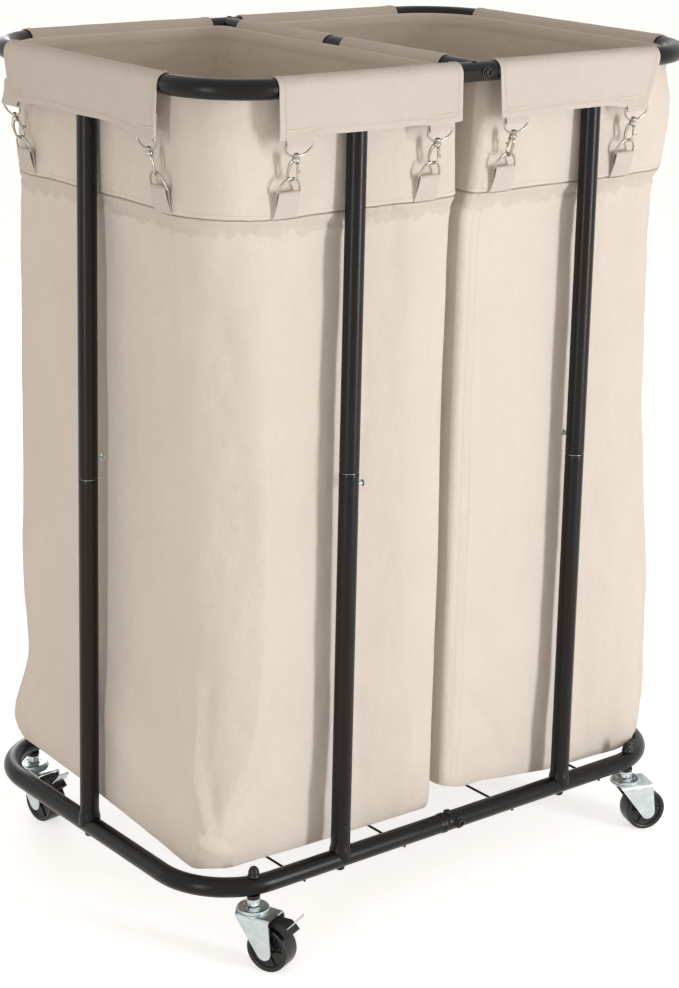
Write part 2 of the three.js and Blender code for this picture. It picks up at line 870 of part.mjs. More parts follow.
// Level outline of a bag that lies on the given side of the divider
function bag_outline(way, outer_x, inner_x, half_y, outer_corner, inner_corner) {
  const corners = [
    { x: inner_x, end: -1, radius: inner_corner, face: -1, start: -Math.PI },
    { x: outer_x, end: -1, radius: outer_corner, face: 1, start: -Math.PI / 2 },
    { x: outer_x, end: 1, radius: outer_corner, face: 1, start: 0 },
    { x: inner_x, end: 1, radius: inner_corner, face: -1, start: Math.PI / 2 },
  ];
  const points = corners.flatMap(({ x, end, radius, face, start }) =>
    Array.from({ length: bag_corner_steps + 1 }, (_, i) => {
      const angle = start + ((Math.PI / 2) * i) / bag_corner_steps;
      return new THREE.Vector2(
        way * (x - face * radius + radius * Math.cos(angle)),
        end * (half_y - radius) + radius * Math.sin(angle),
      );
    }),
  );
  return way > 0 ? points : points.toReversed();
}

function bag_levels(way, wall) {
  const rim_outer = half_length - cover_radius;
  const rim_half = half_width - cover_radius;
  const rim_inner = cover_radius + cloth_wall + divider_rim_gap;
  const level = (z, end, side, inner, corner) => ({
    z,
    outline: bag_outline(
      way,
      rim_outer - end - wall,
      inner + wall,
      rim_half - side - wall,
      corner - wall,
      divider_corner_radius - wall,
    ),
  });
  const base_z = bottom_z + bag_base_rise;
  const seam_z = top_z - seam_drop;
  const hollow = wall > 0;
  const tuck = bag_base_tuck;
  return [
    level(base_z + wall, end_inset + tuck, side_inset + tuck, divider_body_gap + tuck, body_corner_radius),
    level(base_z + bag_base_round, end_inset, side_inset, divider_body_gap, body_corner_radius),
    level(seam_z - body_drop, end_inset, side_inset, divider_body_gap, body_corner_radius),
    level(seam_z, end_inset * (seam_inset / side_inset), seam_inset, divider_body_gap, rim_corner_radius),
    level(top_z - divider_step_height, 0, 0, rim_inner, rim_corner_radius),
    level(top_z + rim_above_centre + (hollow ? cut_overrun : 0), 0, 0, rim_inner, rim_corner_radius),
  ];
}

function bag(way) {
  const shell = cut(loft(bag_levels(way, 0)), loft(bag_levels(way, cloth_wall)));
  const end_side = way < 0 ? sides.left : sides.right;
  const outer_x = half_length * long_flap_outer_share;
  const near = way < 0 ? -outer_x : long_flap_inner_x;
  const far = way < 0 ? -long_flap_inner_x : outer_x;
  const end_reach = half_width * short_flap_share;
  const divider_side = way < 0 ? sides.divider_right : sides.divider_left;
  const pieces = [
    ...flap(sides.front, near, far, straight_x),
    ...flap(sides.back, -far, -near, straight_x),
    ...flap(end_side, -end_reach, end_reach, straight_y),
    ...flap(divider_side, divider_flap_near_y, half_width - divider_flap_inset, half_width),
  ];
  const clips = [
    ...long_side_clip_places.filter((x) => x * way > 0).map((x) => [sides.front, x]),
    ...long_side_clip_places.filter((x) => x * way > 0).map((x) => [sides.back, -x]),
    ...short_side_clip_places.map((place) => [end_side, place]),
  ];
  for (const [side, place] of clips) pieces.push(upper_strap(side, place), lower_strap(side, place));
  return join(shell, ...pieces);
}

// A clip hangs from its top bar at the origin, seen from outside as the sides are. Its two rings are
// closed wires in the XZ plane: a straight bar and a half round.
function half_round_ring(half_span, height, base, radius) {
  const stations = Array.from({ length: half_round_steps + 1 }, (_, i) => {
    const angle = (Math.PI * i) / half_round_steps;
    return new THREE.Vector3(half_span * Math.cos(angle), 0, base + height * Math.sin(angle));
  });
  const section = polygon(radius, wire_sides);
  const across = new THREE.Vector3(0, 1, 0);
  const positions = stations.flatMap((station, i) => {
    const before = station.clone().sub(stations.at(i - 1)).normalize();
    const after = stations[(i + 1) % stations.length].clone().sub(station).normalize();
    const side = before.add(after).normalize().cross(across);
    return section.flatMap(({ x, y }) =>
      station.clone().addScaledVector(side, x).addScaledVector(across, y).toArray(),
    );
  });
  const faces = stations.flatMap((_, i) =>
    section.flatMap((_, k) => {
      const next = (i + 1) % stations.length;
      const [a, b] = [i * wire_sides + k, i * wire_sides + ((k + 1) % wire_sides)];
      const [c, d] = [next * wire_sides + k, next * wire_sides + ((k + 1) % wire_sides)];
      return [a, d, b, a, c, d];
    }),
  );
  const geometry = new THREE.BufferGeometry();
  geometry.setAttribute("position", new THREE.BufferAttribute(new Float32Array(positions), 3));
  geometry.setIndex(faces);
  return geometry;
}

const hook_top = loop_depth + swivel_height / 2;
const hook_fall = hook_drop - hook_top;

function clip_body(turn) {
  const hook_points = hook_side_shares.map(
    (share, i) =>
      new THREE.Vector3(hook_half_width * share, 0, -hook_top - hook_fall * hook_drop_shares[i]),
  );
  const hook = wire(hook_points, hook_wire_radius).rotateZ(turn);
  const ball_low = -loop_depth - swivel_height * (3 / 4);
  const ball = turned(
    [
      [0, ball_low],
      [swivel_neck_radius, ball_low],
      [swivel_radius, ball_low + swivel_height / 2],
      [swivel_neck_radius, ball_low + swivel_height],
      [0, ball_low + swivel_height],
    ],
    swivel_sides,
  );
  const seat = -hook_drop + hook_wire_radius + ring_wire_radius - ring_seat_overlap;
  return join(
    half_round_ring(-loop_half_width, -loop_depth, 0, loop_wire_radius),
    ball,
    hook,
    half_round_ring(ring_half_width, seat + ring_bar_drop, -ring_bar_drop, ring_wire_radius),
  );
}

// The gate hangs from its barrel under the swivel and closes on the hook's tip.
function gate(turn) {
  const tip = hook_drop_shares.length - 1;
  const pivot_z = -loop_depth - swivel_height * (3 / 4) - fit_gap - gate_barrel_radius;
  const tip_z = -hook_top - hook_fall * hook_drop_shares[tip] + fit_gap + hook_wire_radius;
  const pivot_x = hook_half_width * gate_pivot_share;
  const tip_x = hook_half_width * hook_side_shares[tip];
  const from = new THREE.Vector3(pivot_x, 0, pivot_z);
  const to = new THREE.Vector3(tip_x, 0, tip_z);
  const nub = from.clone().lerp(to, gate_nub_share);
  const nub_end = nub.clone().add(new THREE.Vector3(gate_nub_length, 0, -gate_nub_length / 2));
  const half = gate_barrel_width / 2;
  const barrel = axis_to_y(round_bar(gate_barrel_radius, -half, half, swivel_sides));
  return join(
    barrel.translate(pivot_x, 0, pivot_z),
    wire([from, to], gate_radius),
    wire([nub, nub_end], gate_radius),
  ).rotateZ(turn);
}

function add_clip(name, side, place, turn_deg) {
  const turn = THREE.MathUtils.degToRad(turn_deg);
  const around = new THREE.Group();
  around.rotation.z = side.turn;
  const hung = new THREE.Group();
  hung.position.set(place, -side.reach - clip_top_out, clip_top_z);
  hung.rotation.x = clip_lean;
  add_node(hung, "clip_" + name, clip_body(turn), "nickel");
  add_node(hung, "gate_" + name, gate(turn), "nickel");
  around.add(hung);
  hamper.add(around);
}

// Assembly
add_node(hamper, "top_ring_left", top_ring_half(-1), "powder_coat");
add_node(hamper, "top_ring_right", top_ring_half(1), "powder_coat");
add_node(hamper, "bottom_ring_left", bottom_ring_half(-1, left_rod_shares), "powder_coat");
add_node(hamper, "bottom_ring_right", bottom_ring_half(1, right_rod_shares), "powder_coat");
add_node(hamper, "divider_tube", divider_tube(), "powder_coat");
add_node(hamper, "bottom_joint_bolt_front", bottom_joint_bolt(-1), "black_oxide");
add_node(hamper, "bottom_joint_bolt_back", bottom_joint_bolt(1), "black_oxide");

for (const [hand, side] of [["left", -1], ["right", 1]]) {
  const [front, end, back] = upright_places(side);
  const screw_turn = side < 0 ? 0 : Math.PI;
  const inward = Math.PI / 2;
  add_upright("upright_front_" + hand, front, side < 0, false, side < 0 ? screw_turn : inward);
  add_upright("upright_" + hand + "_end", end, false, true, screw_turn);
  add_upright("upright_back_" + hand, back, side > 0, false, side > 0 ? screw_turn : -inward);
}

add_caster("caster_front_left", -stem_x, -stem_y, left_trail_turns_deg.front, true);
add_caster("caster_front_right", stem_x, -stem_y, right_trail_turns_deg.front, false);
add_caster("caster_back_left", -stem_x, stem_y, left_trail_turns_deg.back, true);
add_caster("caster_back_right", stem_x, stem_y, right_trail_turns_deg.back, false);

add_node(hamper, "bag_left", bag(-1), "canvas");
add_node(hamper, "bag_right", bag(1), "canvas");

long_side_clip_places.forEach((x, i) => {
  add_clip("front_" + (i + 1), sides.front, x, front_hook_turns_deg[i]);
  add_clip("back_" + (i + 1), sides.back, -x, back_hook_turns_deg[i]);
});
short_side_clip_places.forEach((place, i) => {
  add_clip("left_" + (i + 1), sides.left, place, left_hook_turns_deg[i]);
  add_clip("right_" + (i + 1), sides.right, place, right_hook_turns_deg[i]);
});

export default hamper;
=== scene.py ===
# %% [markdown]
# # A laundry hamper with two canvas bags
# A black steel tube frame on four casters carries two bags of natural canvas. Their flaps fold over
# the top tubes and are held down by trigger hooks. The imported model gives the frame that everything
# is built around, so a piece goes where the drawing says, in metres, with no fitting by eye.

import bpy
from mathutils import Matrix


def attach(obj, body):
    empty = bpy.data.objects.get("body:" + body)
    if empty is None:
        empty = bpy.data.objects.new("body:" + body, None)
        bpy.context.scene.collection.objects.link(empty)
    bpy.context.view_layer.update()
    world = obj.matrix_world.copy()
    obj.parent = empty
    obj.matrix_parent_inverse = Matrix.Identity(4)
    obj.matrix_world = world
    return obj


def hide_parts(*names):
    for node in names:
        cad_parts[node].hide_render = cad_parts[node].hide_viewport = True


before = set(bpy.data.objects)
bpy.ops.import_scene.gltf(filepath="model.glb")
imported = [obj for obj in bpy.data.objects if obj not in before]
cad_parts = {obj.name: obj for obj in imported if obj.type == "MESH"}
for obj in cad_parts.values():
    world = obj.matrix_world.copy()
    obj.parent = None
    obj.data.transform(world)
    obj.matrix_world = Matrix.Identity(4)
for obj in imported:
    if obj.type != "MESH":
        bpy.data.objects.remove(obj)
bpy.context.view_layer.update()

# %% [markdown]
# The sizes below are the drawing's own, in millimetres. The two tube rings are the base of it all:
# the uprights, the flaps and the clips all take their places from the rings' centrelines.

# %% Sizes of the frame
import math
from functools import lru_cache

import bpy
import bmesh
from mathutils import Matrix, Vector, noise

MM = 0.001
half_length, half_width, corner_radius = 350, 235, 86
straight_x, straight_y = half_length - corner_radius, half_width - corner_radius
tube_radius, saddle_radius = 11, 11.3
bottom_z, ring_rise = 92, 873.5
top_z = bottom_z + ring_rise
top_joint_x, bottom_joint_x = 17, -14
upright_x = 168

# %% [markdown]
# Every piece starts as a form: points in millimetres and the faces between them. Rows of points make
# most of them, either turned about an axis or laid along a path. The form becomes a mesh once, with
# its doubles merged, its sharp edges eased as stamped and moulded edges are, and its faces turned out.

# %% Forms and meshes
class Form:
    def __init__(self):
        self.points, self.faces = [], []

    def add(self, points, faces, place=None):
        start = len(self.points)
        self.points += [place @ Vector(p) if place else Vector(p) for p in points]
        self.faces += [[start + i for i in face] for face in faces]
        return self


def skin(rows, closed=True, caps=True):
    count = len(rows[0])
    faces = []
    for r in range(len(rows) - 1):
        for i in range(count if closed else count - 1):
            a, b = r * count + i, r * count + (i + 1) % count
            faces.append([a, b, b + count, a + count])
    if caps:
        last = (len(rows) - 1) * count
        faces += [list(range(count))[::-1], [last + i for i in range(count)]]
    return [p for row in rows for p in row], faces


def turned(profile, sides=48, start=0.0):
    rows = []
    for radius, height in profile:
        turns = [start + 2 * math.pi * i / sides for i in range(sides)]
        rows.append([(radius * math.cos(t), radius * math.sin(t), height) for t in turns])
    open_ends = profile[0] != profile[-1] and profile[0][0] > 0
    return skin(rows, caps=open_ends)


def face_out(mesh, crease_deg=32, ease=0.0, gap=1e-6):
    """Doubles merged, sharp edges eased, faces turned out, and shaded smooth between creases."""
    shape = bmesh.new()
    shape.from_mesh(mesh)
    bmesh.ops.remove_doubles(shape, verts=shape.verts, dist=gap)
    bmesh.ops.recalc_face_normals(shape, faces=shape.faces)
    if ease:
        sharp = [e for e in shape.edges if e.is_manifold and e.calc_face_angle(0) > math.radians(40)]
        rounding = {"offset": ease * MM, "segments": 2, "profile": 0.5, "clamp_overlap": True}
        bmesh.ops.bevel(shape, geom=sharp, affect="EDGES", **rounding)
    shape.to_mesh(mesh)
    shape.free()
    return soften(mesh, crease_deg)


def soften(mesh, crease_deg):
    mesh.shade_smooth()
    mesh.set_sharp_from_angle(angle=math.radians(crease_deg))
    return mesh


def raw_mesh(name, points, faces, edges=()):
    """Points in millimetres become a mesh in metres."""
    mesh = bpy.data.meshes.new(name)
    mesh.from_pydata([Vector(p) * MM for p in points], edges, faces)
    return mesh


def to_mesh(name, form, crease_deg=32, ease=0.0):
    return face_out(raw_mesh(name, form.points, form.faces), crease_deg, ease, 2e-6)


def lathed(name, profile, sides, crease_deg=32, ease=0.0, place=None):
    return to_mesh(name, Form().add(*turned(profile, sides), place), crease_deg, ease)


def raised(profile, base, way=1):
    """A profile of (radius, height) put on a base, or hung under it."""
    return [(radius, base + way * height) for radius, height in profile]


def merged(name, *meshes):
    shape = bmesh.new()
    for mesh in meshes:
        shape.from_mesh(mesh)
    whole = bpy.data.meshes.new(name)
    shape.to_mesh(whole)
    shape.free()
    return whole


def placed(name, mesh, place):
    copy = mesh.copy()
    copy.name = name
    copy.transform(Matrix.Translation(place.translation * MM) @ place.to_3x3().to_4x4())
    return copy


def in_scene(name, data):
    item = bpy.data.objects.new(name, data)
    bpy.context.scene.collection.objects.link(item)
    return item


def applied(name, holder):
    """The mesh that the object's modifier makes. The object and its own mesh are used up."""
    source = holder.data
    ready = holder.evaluated_get(bpy.context.evaluated_depsgraph_get())
    mesh = bpy.data.meshes.new_from_object(ready)
    bpy.data.objects.remove(holder)
    bpy.data.meshes.remove(source)
    mesh.name = name
    return mesh


def add_piece(name, mesh, finish, node, body="frame"):
    piece = in_scene(name, mesh)
    mesh.materials.clear()
    mesh.materials.append(finish)
    for face in mesh.polygons:
        face.material_index = 0
    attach(piece, body)
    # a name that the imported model's materials hold already gets a number behind it
    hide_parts(node)
    return piece


def walled(mesh, thickness, even=False):
    """A sheet gets a wall of this thickness on its inner side."""
    name = mesh.name
    holder = in_scene(name, mesh)
    wall = holder.modifiers.new("wall", "SOLIDIFY")
    wall.thickness, wall.offset, wall.use_even_offset = thickness * MM, -1.0, even
    return soften(applied(name, holder), 50)


# %% [markdown]
# Tubes, rods and bent wire all follow a path with a round section. A small Geometry Nodes tree does
# them all: bare edges become curves, and a circle is carried along them at each point's own radius,
# so that a collar, a flare or an eased tube end is only a few more points on the path.

# %% A node tree for round bars
def new_tree(name, inputs):
    """A tree that takes geometry, the inputs and the finish of what it makes."""
    tree = bpy.data.node_groups.new(name, "GeometryNodeTree")
    tree.interface.new_socket("Geometry", in_out="INPUT", socket_type="NodeSocketGeometry")
    for label, kind, value in [*inputs, ("Finish", "NodeSocketMaterial", None)]:
        socket = tree.interface.new_socket(label, in_out="INPUT", socket_type=kind)
        if value is not None:
            socket.default_value = value
    tree.interface.new_socket("Geometry", in_out="OUTPUT", socket_type="NodeSocketGeometry")
    return tree, tree.nodes.new("NodeGroupInput").outputs


def step(tree, kind, links, **settings):
    node = tree.nodes.new(kind)
    for key, value in settings.items():
        setattr(node, key, value)
    for socket, source in links.items():
        if hasattr(source, "is_output"):
            tree.links.new(source, node.inputs[socket])
        else:
            node.inputs[socket].default_value = source
    return node


def end_tree(tree, geometry, given):
    """The last steps of every tree: real geometry, in the finish that was asked for."""
    realized = step(tree, "GeometryNodeRealizeInstances", {"Geometry": geometry})
    links = {"Geometry": realized.outputs["Geometry"], "Material": given["Finish"]}
    coated = step(tree, "GeometryNodeSetMaterial", links)
    step(tree, "NodeGroupOutput", {"Geometry": coated.outputs["Geometry"]})


def grow(name, source, tree, values):
    """What the tree makes of a mesh."""
    holder = in_scene(name, source)
    grown = holder.modifiers.new(tree.name, "NODES")
    grown.node_group = tree
    for item in tree.interface.items_tree:
        if item.item_type == "SOCKET" and item.in_out == "INPUT" and item.name in values:
            grown[item.identifier] = values[item.name]
    return applied(name, holder)


bar_tree, given = new_tree("round bars", [("Sides", "NodeSocketInt", 24)])
line = step(bar_tree, "GeometryNodeMeshToCurve", {"Mesh": given["Geometry"]})
radius = step(bar_tree, "GeometryNodeInputNamedAttribute", {"Name": "bar_radius"}, data_type="FLOAT")
links = {"Resolution": given["Sides"], "Radius": 1.0}
section = step(bar_tree, "GeometryNodeCurvePrimitiveCircle", links)
links = {"Curve": line.outputs["Curve"], "Profile Curve": section.outputs["Curve"]}
links |= {"Scale": radius.outputs["Attribute"], "Fill Caps": True}
bar = step(bar_tree, "GeometryNodeCurveToMesh", links)
end_tree(bar_tree, bar.outputs["Mesh"], given)


def path_mesh(name, paths):
    points, edges, radii = [], [], []
    for path, path_radii, closed in paths:
        start = len(points)
        points += path
        edges += [(start + i, start + i + 1) for i in range(len(path) - 1)]
        if closed:
            edges.append((start + len(path) - 1, start))
        radii += [r * MM for r in path_radii]
    mesh = raw_mesh(name, points, [], edges)
    mesh.attributes.new("bar_radius", "FLOAT", "POINT").data.foreach_set("value", radii)
    return mesh


def bars(name, paths, finish, sides=24):
    return face_out(grow(name, path_mesh(name, paths), bar_tree, {"Sides": sides, "Finish": finish}))


# %% [markdown]
# ## Finishes
# A finish is a few nodes over one Principled shader. All read the object's own coordinates in metres,
# so a grain of half a millimetre is written as such, and it stays put when a piece moves.

# %% Node helpers for finishes
def new_finish(name, color, roughness, metallic=0.0, specular=0.5):
    finish = bpy.data.materials.new(name)
    finish.use_nodes = True
    tree = finish.node_tree
    shader = next(n for n in tree.nodes if n.type == "BSDF_PRINCIPLED")
    shader.inputs["Base Color"].default_value = (*color, 1)
    shader.inputs["Roughness"].default_value = roughness
    shader.inputs["Metallic"].default_value = metallic
    shader.inputs["Specular IOR Level"].default_value = specular
    place = tree.nodes.new("ShaderNodeTexCoord").outputs["Object"]
    return finish, tree, shader, place


def grain(tree, place, scale, detail=3.0, roughness=0.5):
    links = {"Vector": place, "Scale": scale, "Detail": detail, "Roughness": roughness}
    return step(tree, "ShaderNodeTexNoise", links).outputs["Fac"]


def remap(tree, value, low, high, to_low, to_high):
    links = {"Value": value, "From Min": low, "From Max": high, "To Min": to_low, "To Max": to_high}
    return step(tree, "ShaderNodeMapRange", links).outputs["Result"]


def math_node(tree, operation, *values):
    return step(tree, "ShaderNodeMath", dict(enumerate(values)), operation=operation).outputs["Value"]


def tint(tree, amount, low_color, high_color):
    links = {"Factor": amount, "A": (*low_color, 1), "B": (*high_color, 1)}
    return step(tree, "ShaderNodeMix", links, data_type="RGBA").outputs["Result"]


def bump(tree, shader, height, depth, strength=1.0, below=None):
    links = {"Height": height, "Distance": depth, "Strength": strength}
    if below is not None:
        links["Normal"] = below
    normal = step(tree, "ShaderNodeBump", links).outputs["Normal"]
    tree.links.new(normal, shader.inputs["Normal"])
    return normal


# %% [markdown]
# Most finishes are one idea with other numbers: a grain of noise moves the colour and the gloss
# together, and the bump follows the same grain or a finer one.

# %% A mottled finish
def mottled(
    name, grain_of, colors, bump_of, gloss=None, fine=None, roughness=0.3, metallic=0.0, specular=0.5
):
    """Colour and gloss follow one grain, and the bump follows it too or a fine grain of its own.

    A grain is (scale, detail, roughness), and gloss is (grain low, high, roughness low, high).
    """
    finish, tree, shader, place = new_finish(name, colors[1], roughness, metallic, specular)
    cloud = grain(tree, place, *grain_of)
    tree.links.new(tint(tree, cloud, *colors), shader.inputs["Base Color"])
    if gloss:
        tree.links.new(remap(tree, cloud, *gloss), shader.inputs["Roughness"])
    bump(tree, shader, grain(tree, place, *fine) if fine else cloud, *bump_of)
    return finish


# %% [markdown]
# Powder coat is baked paint: nearly black, satin, with the faint ripple of a paint that flowed as it
# melted, and a little dust. Its gloss is kept low, or a white room turns the black tube grey. Black
# oxide on the bolts is a thin skin on steel, so it keeps some of the metal's shine.

# %% Powder coat and black oxide
black_paint = [(0.0035, 0.0028, 0.0022), (0.007, 0.0058, 0.0047)]
powder_coat = mottled(
    "powder_coat", (60.0, 6.0, 0.7), black_paint, (0.00006, 0.35),
    gloss=(0.35, 0.7, 0.25, 0.36), fine=(420.0, 2.0), specular=0.24,
)
oxide = [(0.010, 0.0095, 0.009), (0.035, 0.033, 0.031)]
black_oxide = mottled(
    "black_oxide", (350.0, 4.0, 0.6), oxide, (0.00004, 0.4),
    gloss=(0.3, 0.7, 0.22, 0.45), metallic=0.4, specular=0.3,
)

# %% [markdown]
# Zinc plate has a cool, slightly green cast and a broken, cloudy shine from the stamping under it.
# Nickel plate on the clips is warmer and smoother, so it mirrors more and shows darker streaks.

# %% Zinc and nickel plate
zinc = mottled(
    "zinc", (90.0, 5.0, 0.65), [(0.42, 0.48, 0.48), (0.66, 0.72, 0.72)], (0.00003, 0.4),
    gloss=(0.3, 0.7, 0.2, 0.42), fine=(900.0, 2.0), metallic=1.0,
)
nickel = mottled(
    "nickel", (160.0, 4.0, 0.6), [(0.27, 0.245, 0.21), (0.56, 0.52, 0.46)], (0.00006, 0.3),
    gloss=(0.3, 0.7, 0.1, 0.26), metallic=1.0,
)

# %% [markdown]
# The wheels and the brake blocks are black plastic. The tread is a little scuffed from the floor, and
# both have the soft shine of a moulded face.

# %% Black plastics
wheel_plastic = mottled(
    "wheel_plastic", (240.0, 6.0, 0.7), [(0.008, 0.008, 0.008), (0.022, 0.021, 0.02)], (0.00005, 0.3),
    gloss=(0.3, 0.7, 0.2, 0.42), specular=0.35,
)
brake_plastic = mottled(
    "brake_plastic", (500.0, 4.0, 0.6), [(0.010, 0.010, 0.010), (0.024, 0.023, 0.022)], (0.00006, 0.5),
    roughness=0.45, specular=0.3,
)

# %% [markdown]
# Canvas is a plain weave: one thread over, one under, both ways. The weave follows the cloth's own
# map, laid out in metres, so it turns with every fold. Thicker threads here and there make the slubs,
# and the tone drifts a little from place to place as undyed cotton does.

# %% Canvas and thread
thread_pitch = 0.0008
canvas_light, canvas_dark = (0.815, 0.745, 0.675), (0.65, 0.585, 0.525)
# the flaps and straps get a greyer copy of the canvas: painted shade
flap_shade_light, flap_shade_dark = (0.69, 0.63, 0.58), (0.56, 0.51, 0.465)


def cloth_axis(tree, along, scale_u, scale_v):
    links = {0: along, 1: (scale_u, scale_v, 1.0)}
    return step(tree, "ShaderNodeVectorMath", links, operation="MULTIPLY").outputs["Vector"]


def canvas_finish(name, dark, light):
    """The woven cloth. Under the seam it has a darker strip of painted shade, with a ragged lower edge.
    """
    finish, tree, shader, place = new_finish(name, light, 0.92, specular=0.18)
    cloth_map = step(tree, "ShaderNodeUVMap", {}, uv_map="cloth").outputs["UV"]
    across = step(tree, "ShaderNodeSeparateXYZ", {"Vector": cloth_map}).outputs
    threads = [math_node(tree, "MULTIPLY", across[i], 2 * math.pi / thread_pitch) for i in (0, 1)]
    waves = [math_node(tree, "SINE", thread) for thread in threads]
    weave = math_node(tree, "MULTIPLY", *waves)
    warp_slub = grain(tree, cloth_axis(tree, cloth_map, 900.0, 45.0), 1.0, 2.0)
    weft_slub = grain(tree, cloth_axis(tree, cloth_map, 45.0, 900.0), 1.0, 2.0)
    slubs = math_node(tree, "ADD", warp_slub, weft_slub)
    drift = grain(tree, place, 9.0, 4.0, 0.6)
    thread_tone = remap(tree, slubs, 0.7, 1.3, 0.6, 0.8)
    tone = math_node(tree, "ADD", thread_tone, remap(tree, drift, 0.3, 0.7, 0.0, 0.2))
    # painted shade: a darker strip just under the band's seam, its lower edge ragged
    ragged = grain(tree, cloth_axis(tree, cloth_map, 30.0, 0.0), 1.0, 3.0)
    shade_strip_foot = remap(tree, ragged, 0.3, 0.7, 0.707, 0.724)
    from_foot = remap(tree, math_node(tree, "SUBTRACT", across[1], shade_strip_foot), 0.0, 0.003, 0.0, 1.0)
    strip = math_node(tree, "MULTIPLY", from_foot, remap(tree, across[1], 0.7352, 0.7362, 1.0, 0.0))
    tone = math_node(tree, "SUBTRACT", tone, math_node(tree, "MULTIPLY", strip, 0.45))
    tree.links.new(tint(tree, tone, dark, light), shader.inputs["Base Color"])
    shader.inputs["Sheen Weight"].default_value = 0.12
    shader.inputs["Sheen Roughness"].default_value = 0.5
    wrinkles = grain(tree, place, 15.0, 5.0, 0.55)
    wide = bump(tree, shader, wrinkles, 0.012, 0.5)
    soft = grain(tree, place, 55.0, 4.0, 0.6)
    low = bump(tree, shader, soft, 0.0012, 0.35, below=wide)
    middle = bump(tree, shader, slubs, 0.00016, 0.4, below=low)
    bump(tree, shader, weave, 0.00008, 0.45, below=middle)
    return finish


canvas = canvas_finish("canvas", canvas_dark, canvas_light)
# painted shade: the greyer copy of the canvas for the flaps and straps
canvas_doubled = canvas_finish("canvas_doubled", flap_shade_dark, flap_shade_light)

cotton_thread = mottled(
    "cotton_thread", (1500.0, 2.0), [(0.62, 0.54, 0.45), (0.84, 0.77, 0.68)], (0.0001, 0.6),
    roughness=0.8, specular=0.2,
)
print("finishes:", len(bpy.data.materials))

# %% [markdown]
# ## The tube frame
# Each ring is two bent tubes. Half a ring is one path: straight, a quarter bend, straight, a bend and
# straight again, with the tube's end eased where it meets the other half.

# %% Paths of the rings
bend_steps = 22


def ring_point(turn, end, side, z, radius=corner_radius):
    return (
        side * (straight_x + radius * math.sin(turn)),
        end * (straight_y + radius * math.cos(turn)),
        z,
    )


def half_ring_path(side, joint_x, z):
    turns = [math.pi / 2 * i / bend_steps for i in range(bend_steps + 1)]
    front = [ring_point(t, -1, side, z) for t in turns]
    back = [ring_point(t, 1, side, z) for t in reversed(turns)]
    return [(joint_x, -half_width, z), *front, *back, (joint_x, half_width, z)]


def with_ends(path, end_profile):
    """The path with extra points near both ends: (distance from the end, radius)."""
    points = [Vector(p) for p in path]
    first = (points[1] - points[0]).normalized()
    last = (points[-2] - points[-1]).normalized()
    head = [points[0] + first * d for d, _ in end_profile]
    tail = [points[-1] + last * d for d, _ in reversed(end_profile)]
    radii = [r for _, r in end_profile]
    middle = points[1:-1]
    return head + middle + tail, radii + [tube_radius] * len(middle) + radii[::-1], False


plain_end = [(0, 10.3), (0.35, 10.8), (0.9, 11), (4, 11)]
collar_end = [(0, 10.6), (0.4, 11.5), (1.2, 11.75), (6.4, 11.75), (7.2, 11.5), (8.2, 11), (12, 11)]

# %% Top and bottom rings
for name, side, joint_x, z, end_profile in (
    ("top_ring_left", -1, top_joint_x, top_z, plain_end),
    ("top_ring_right", 1, top_joint_x, top_z, plain_end),
    ("bottom_ring_left", -1, bottom_joint_x, bottom_z, collar_end),
    ("bottom_ring_right", 1, bottom_joint_x, bottom_z, plain_end),
):
    gap = 0.15 * side
    path = with_ends(half_ring_path(side, joint_x + gap, z), end_profile)
    add_piece(name + "_tube", bars(name + "_tube", [path], powder_coat, 40), powder_coat, name)

# %% [markdown]
# The rods under the bottom ring are plain wire, welded on: a small bead of weld sits at each crossing.
# The weld beads repeat, so they are placed by Geometry Nodes on bare points.

# %% A node tree that places copies
copy_tree, given = new_tree("placed copies", [("Model", "NodeSocketObject", None)])
model = step(copy_tree, "GeometryNodeObjectInfo", {"Object": given["Model"]})
turn = step(copy_tree, "GeometryNodeInputNamedAttribute", {"Name": "turn"}, data_type="FLOAT_VECTOR")
facing = step(copy_tree, "FunctionNodeEulerToRotation", {"Euler": turn.outputs["Attribute"]})
links = {"Points": given["Geometry"], "Instance": model.outputs["Geometry"]}
links |= {"Rotation": facing.outputs["Rotation"]}
copies = step(copy_tree, "GeometryNodeInstanceOnPoints", links)
end_tree(copy_tree, copies.outputs["Instances"], given)


def copies_of(name, model_mesh, places, finish):
    """One mesh with a copy of the model at each place, a matrix in millimetres."""
    spots = raw_mesh(name + "_spots", [place.translation for place in places], [])
    turns = [angle for place in places for angle in place.to_euler()]
    spots.attributes.new("turn", "FLOAT_VECTOR", "POINT").data.foreach_set("vector", turns)
    model_object = bpy.data.objects.new(name + "_model", model_mesh)
    mesh = grow(name, spots, copy_tree, {"Model": model_object, "Finish": finish})
    bpy.data.objects.remove(model_object)
    return mesh


# %% Rods and their welds
rod_z, rod_reach, weld_drop = 80.27, 239, 11.2
weld_profile = [(0, -1.1), (2.6, -0.9), (3.6, 0.2), (3.2, 1.3), (0, 1.6)]
weld = lathed("weld_bead", weld_profile, 14, 60)
rod_stations = [(-rod_reach, 1.0), (-rod_reach + 0.5, 1.5), (rod_reach - 0.5, 1.5), (rod_reach, 1.0)]
for name, rod_places in (("bottom_ring_left", (-220, -76)), ("bottom_ring_right", (90, 233))):
    radii = [radius for _, radius in rod_stations]
    rod_paths = [([(x, y, rod_z) for y, _ in rod_stations], radii, False) for x in rod_places]
    rods = bars(name + "_rods", rod_paths, powder_coat, 12)
    crossings = [(x, end * half_width, bottom_z - weld_drop) for x in rod_places for end in (-1, 1)]
    spots = [Matrix.Translation(crossing) for crossing in crossings]
    beads = copies_of(name + "_welds", weld, spots, powder_coat)
    add_piece(name + "_rods", merged(name + "_rods", rods, beads), powder_coat, name)

# %% [markdown]
# Where a tube stands on another, its end is coped: cut to a saddle that fits the tube it meets. The
# saddle is exact here, because its height at any turn follows from the two radii.

